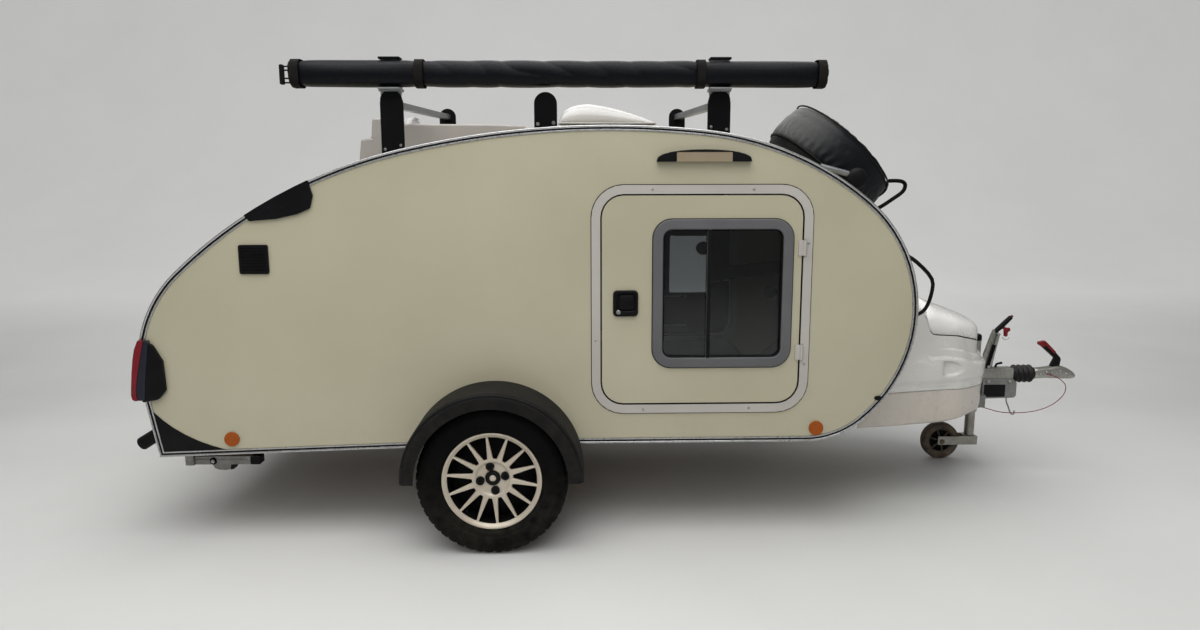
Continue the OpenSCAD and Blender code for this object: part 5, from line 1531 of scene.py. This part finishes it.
class TRAILER_OT_awning(bpy.types.Operator):
    """Fills the awning bag, straps it down and adds the buckle at its end"""
    bl_idname = "trailer.awning"
    bl_label = "Awning bag"

    def execute(self, context):
        bag = soft_copy("rolled_awning", "awning_bag", 0.006, 0.003)
        puff(bag, sizes().bag_swell, lambda p: any(abs((p.x - AXLE) / MM - s) < 18 for s in STRAPS))
        crease(bag, bag_folds)
        soften(bag)
        settle(bag, "vinyl_navy", "trailer", replaces=("awning_bag",))
        half = (BAG_TOP - BAG_LOW) / 2 - 1.5
        middle = (BAG_TOP + BAG_LOW) / 2
        width = sizes().strap_width / MM
        for n, x in enumerate(STRAPS):
            rings = []
            for end, grow in ((-0.5, 0), (-0.5, 1.8), (0.5, 1.8), (0.5, 0)):
                loop = rounded_rect(BAG_Y - half - grow, middle - half - grow, BAG_Y + half + grow,
                    middle + half + grow, 33 + grow)
                rings.append([at(x + end * width, y, z) for y, z in loop])
            Shape().loft(rings, along=True).make("bag_strap_%d" % n, "vinyl_navy", "trailer",
                "strap_web", smooth=40)
        bar = rounded_rect(-790, 1783, -774, 1857, 5, 4)
        Shape().slab(bar, -9.0, 9.0, in_plane(BAG_Y)).make("buckle_bar", "vinyl_navy", "trailer",
            "black_plastic", bevel=2.0)
        arms = Shape()
        for z in (1790, 1806, 1836, 1850):
            arms.tube([at(-776, BAG_Y, z), at(-748, BAG_Y, z)], 3.0, 10)
        arms.make("buckle_arms", "vinyl_navy", "trailer", "black_steel", smooth=50)
        return {"FINISHED"}


# Roof pieces and spare wheel

DOME_X, DOME_LEN, DOME_Z, DOME_RISE, DOME_HALF = 250.0, 427.7, 1670.57, 92.0, 250.0
DOME_LINE = ((0, 0), (0.015, 0.3), (0.06, 0.66), (0.16, 0.91), (0.32, 1), (0.60, 0.76), (0.84, 0.40),
    (0.97, 0.12), (1, 0))
UNIT_TOP = ((-601, 1517), (-591, 1599), (-547, 1604), (-540, 1686), (-500, 1687), (-413, 1663),
    (-45, 1661), (108, 1655))
SPARE = (1458, 0, 1442)
CARRIER_LOOP = ((1770, 1419), (1812, 1419), (1838, 1413), (1848, 1396), (1836, 1368), (1790, 1334),
    (1742, 1302), (1672, 1262), (1610, 1230))
SPARE_TILT = math.radians(43)


class TRAILER_OT_roof(bpy.types.Operator):
    """Moulds the skylight dome and the cap on the roof unit"""
    bl_idname = "trailer.roof"
    bl_label = "Roof pieces"

    def execute(self, context):
        line = smooth_path([(s, h, 0) for s, h in DOME_LINE], 6)
        rings = []
        for point in line:
            ends = max(1 - abs(2 * point[0] - 1) ** 9, 0.0) ** (1 / 9)
            half = DOME_HALF * (0.82 + 0.18 * ends)
            ring = []
            for k in range(49):
                across, up = squared(math.pi * k / 48, 0.45, 0.55)
                rise = max(point[1], 0.0) * DOME_RISE * up
                ring.append(at(DOME_X + point[0] * DOME_LEN, half * across, DOME_Z + rise))
            rings.append(ring)
        dome = Shape().loft(rings, around=False).make("skylight_bubble", "dome_white", "roof_dome",
            smooth=60, replaces=("skylight_dome",))
        thicken(dome)
        outer = rounded_rect(DOME_X - 3, -254, DOME_X + DOME_LEN + 2, 254, 30, 8)
        inner = rounded_rect(DOME_X + 17, -234, DOME_X + DOME_LEN - 18, 234, 24, 8)
        rings = [[at(x, y, DOME_Z + z) for x, y in loop] for loop, z in ((outer, -2), (outer, 3),
            (inner, 5), (inner, -2))]
        Shape().loft(rings, along=True).make("bubble_rim", "dome_white", "roof_dome", bevel=1.0)
        cap = [(0, 40), (16, 39), (32, 32), (42, 18), (45, 2), (48, 0), (48, -4), (0, -4)]
        Shape().lathe(cap, 48, round_pin(-408, -150, 1664.0, (0, 0, 1))).make("roof_cap", "dome_white",
            "trailer", smooth=60)
        # The roof unit takes the grey of its shaded side: painted shade on a white moulding
        side = list(UNIT_TOP) + [(x, roof_z(x) - 15) for x in np.linspace(190, UNIT_TOP[0][0], 9)]
        Shape().slab(side, -330.0, 330.0, in_plane(0)).make("roof_box", "gelcoat", "trailer",
            "unit_grey", bevel=9.0, replaces=("roof_unit",))
        return {"FINISHED"}


def on_spare(r, a, h):
    """Point of the spare wheel from its radius, its turn and its distance from the back."""
    tilt, across = math.cos(SPARE_TILT), math.sin(SPARE_TILT)
    up, side = r * math.cos(a), r * math.sin(a)
    return at(SPARE[0] + across * h - tilt * up, SPARE[1] + side, SPARE[2] + tilt * h + across * up)


def spare_place(x, y, z):
    dx, dz = x - SPARE[0], z - SPARE[2]
    h = dx * math.sin(SPARE_TILT) + dz * math.cos(SPARE_TILT)
    up = dz * math.sin(SPARE_TILT) - dx * math.cos(SPARE_TILT)
    return math.hypot(up, y), math.atan2(y, up), h


def cover_folds(x, y, z):
    """Gathers along the hem behind the wheel, and a slack front."""
    r, a, h = spare_place(x, y, z)
    back = ease((110 - h) / 110) * ease((r - 120) / 100)
    depth = 3.6 * back * math.sin(44 * a + 3 * ripple.noise(Vector((a * 3, h * 0.02, 0))))
    depth += 2.5 * ripple.noise(Vector((x * 0.008, y * 0.008, z * 0.008)))
    return depth - 1.5 - 4.0 * ease((h - 190) / 12) * ease((230 - r) / 120)


class TRAILER_OT_spare(bpy.types.Operator):
    """Covers the spare wheel and adds its carrier's loop and knob"""
    bl_idname = "trailer.spare"
    bl_label = "Spare wheel"

    def execute(self, context):
        cover = soft_copy("wheel_cover", "spare_cover", 0.0075, 0.004)
        puff(cover, 0.006, lambda p: spare_place((p.x - AXLE) / MM, p.y / MM, p.z / MM)[2] < 12)
        crease(cover, cover_folds)
        soften(cover)
        settle(cover, "vinyl_charcoal", "trailer", replaces=("spare_cover",))
        pan = [(0, 3), (272, 3), (276, -2), (266, -30), (240, -40), (0, -40)]
        Shape().lathe(pan, 96, on_spare).make("cover_pan", "vinyl_charcoal", "trailer", "seal_rubber",
            smooth=40)
        for name, radius, height, thick in (("cover_piping", 280.5, 180.5, 4),
                ("cover_hem", 281, 6, 5.5)):
            turn = [2 * math.pi * k / 96 for k in range(97)]
            Shape().tube([on_spare(radius, a, height) for a in turn], thick, 10).make(name,
                "vinyl_charcoal", "trailer", "seal_rubber", smooth=60)
        for name, side in SIDES:
            loop = smooth_path([at(x, side * 120, z) for x, z in CARRIER_LOOP], 5)
            Shape().tube(loop, 9.0, 14).make("carrier_loop_" + name, "black_steel", "trailer",
                smooth=60)
            knob = [(0, 26), (30, 24), (42, 16), (46, 4), (46, -10), (40, -14), (0, -14)]
            Shape().lathe(knob, 40, round_pin(1543, side * 352, 1430, (0, side, 0))).make(
                "carrier_knob_" + name, "black_steel", "trailer", "black_plastic", smooth=40)
            arm = [at(1380, side * 352, 1482), at(1426, side * 352, 1470), at(1502, side * 352, 1450),
                at(1540, side * 352, 1432)]
            Shape().tube(arm, 13.0, 14).make("carrier_arm_" + name, "black_steel", "trailer",
                "rack_alu", smooth=60)
        return {"FINISHED"}


# Cabin, galley and tail

LINING_IN = 716.0
# Stations on the outline and depths inside its edge
HATCH_PLATE = ((1.16, -1), (1.16, -4), (1.24, -4), (1.24, -1))
HATCH_GRIP = ((1.33, 4), (1.335, -30), (1.35, -40), (1.365, -30), (1.37, 4))


def mattress_quilt(x, y, z):
    if z < 500:
        return 0.0
    across = math.sin(math.pi * x / 215) * math.sin(math.pi * y / 205)
    return 5.0 * abs(across) ** 0.6 - 4.5


class TRAILER_OT_cabin(bpy.types.Operator):
    """Makes the mattress, the doors' linings, the blind and the shelf; linings, blind and shelf are dark with
    painted shade
    """
    bl_idname = "trailer.cabin"
    bl_label = "Cabin"

    def execute(self, context):
        bed = soft_copy("bed_mattress", "mattress", 0.022, 0.006)
        puff(bed, 0.008, lambda p: p.z / MM < 424)
        crease(bed, mattress_quilt)
        soften(bed)
        settle(bed, "mattress_cloth", "trailer", replaces=("mattress",))
        for name, side in SIDES:
            body = name + "_door"
            outer = rounded_rect(*inset_rect(DOOR, 52), 73, 8)
            hole = rounded_rect(*inset_rect(WINDOW, 30), 45, 8)
            rings = [[at(x, side * y, z) for x, z in loop] for loop, y in ((outer, 721.5),
                (outer, LINING_IN), (hole, LINING_IN), (hole, 721.5))]
            # The linings are dark with painted shade, as the cabin's inside lies in shade
            Shape().loft(rings, along=True).make("door_lining_" + name, "wall_cream", body,
                "dark_lining", smooth=30)
        self.blind()
        return {"FINISHED"}

    def blind(self):
        """Blind of painted shade with a netted opening on the left door, and the rail and shelf beyond it, the
        shelf dark with painted shade too.
        """
        outer = rounded_rect(*inset_rect(WINDOW, 15), 60, 8)
        hole = rounded_rect(852, 794, 1085, 1114, 10, 8)
        rings = [[at(x, y, z) for x, z in loop] for loop, y in ((outer, 715.5), (outer, 713),
            (hole, 713), (hole, 715.5))]
        Shape().loft(rings, along=True).make("window_blind", "wall_cream", "left_door", "dark_lining",
            smooth=30)
        Shape().slab(hole, 714.0, 714.6, in_plane(0)).make("blind_net", "tinted_glass", "left_door",
            "net_gauze", smooth=30)
        rails = Shape()
        for z in (606, 772):
            rails.slab(rounded_rect(815, z - 2, 948, z + 2, 1.5, 3), 708.0, 713.5, in_plane(0))
        rails.make("lining_rails", "edge_alu", "left_door", smooth=30)
        # The shelf is dark with painted shade
        board = ((1051, 881), (1426, 926), (1426, 1000), (1051, 955))
        Shape().slab(board, 480.0, 492.0, in_plane(0)).make("head_board", "floor_ply", "trailer",
            "dark_lining", smooth=30, bevel=1.5)
        lip = ((1051, 878), (1426, 923), (1426, 927), (1051, 882))
        Shape().slab(lip, 474.0, 494.0, in_plane(0)).make("board_lip", "edge_alu", "trailer", smooth=30)


class TRAILER_OT_tail(bpy.types.Operator):
    """Adds the hatch's handle and blank plate and the galley's fronts"""
    bl_idname = "trailer.tail"
    bl_label = "Tail and galley"

    def execute(self, context):
        plate = [edge(t, d) for t, d in HATCH_PLATE]
        Shape().slab(plate, -300.0, 300.0, in_plane(0)).make("number_plate_0", "frame_white", "hatch",
            smooth=30)
        grip = smooth_path([in_plane(0)(*edge(t, d), 0) for t, d in HATCH_GRIP], 4)
        for n, y in enumerate((-260, 260)):
            path = [p + Vector((0, y * MM, 0)) for p in grip]
            Shape().tube(path, 8.0, 12).make("hatch_grip_%d" % n, "black_plastic", "hatch", smooth=60)
        fronts, pulls = Shape(), Shape()
        for k in range(3):
            y = -470 + 470 * k
            panel = rounded_rect(y - 222, 452, y + 222, 860, 14, 4)
            fronts.loft([[at(x, yy, z) for yy, z in panel] for x in (-1136, -1140.5)])
            pulls.tube([at(-1141, y - 70, 810), at(-1152, y - 66, 810), at(-1152, y + 66, 810),
                at(-1141, y + 70, 810)], 5.0, 10)
        fronts.make("galley_fronts", "galley_wood", "trailer", smooth=30, bevel=1.5)
        pulls.make("galley_pulls", "edge_alu", "trailer", smooth=50)
        return {"FINISHED"}


# Panel and registration

STEPS = (TRAILER_OT_camera, TRAILER_OT_cable, TRAILER_OT_stage, TRAILER_OT_solids, TRAILER_OT_wheels,
    TRAILER_OT_trims, TRAILER_OT_doors, TRAILER_OT_fittings, TRAILER_OT_nose, TRAILER_OT_tongue,
    TRAILER_OT_jockey, TRAILER_OT_steadies, TRAILER_OT_rack, TRAILER_OT_awning, TRAILER_OT_roof,
    TRAILER_OT_spare, TRAILER_OT_cabin, TRAILER_OT_tail)


class TRAILER_PT_panel(bpy.types.Panel):
    """Lists the trailer's settings and pieces"""
    bl_idname = "TRAILER_PT_panel"
    bl_label = "Trailer"
    bl_space_type = "VIEW_3D"
    bl_region_type = "UI"
    bl_category = "Trailer"

    def draw(self, context):
        for group in (context.scene.trailer_stage, context.scene.trailer_sizes):
            for key in group.bl_rna.properties.keys():
                if key not in ("rna_type", "name"):
                    self.layout.prop(group, key)
        for step in STEPS:
            self.layout.operator(step.bl_idname)


CLASSES = (TrailerStage, TrailerSizes) + STEPS + (TRAILER_PT_panel,)


def register():
    for cls in CLASSES:
        bpy.utils.register_class(cls)
    bpy.types.Scene.trailer_stage = bpy.props.PointerProperty(type=TrailerStage)
    bpy.types.Scene.trailer_sizes = bpy.props.PointerProperty(type=TrailerSizes)


def unregister():
    del bpy.types.Scene.trailer_stage
    del bpy.types.Scene.trailer_sizes
    for cls in reversed(CLASSES):
        bpy.utils.unregister_class(cls)


def main():
    register()
    for step in STEPS:
        group, name = step.bl_idname.split(".")
        getattr(getattr(bpy.ops, group), name)()


if __name__ == "__main__":
    main()
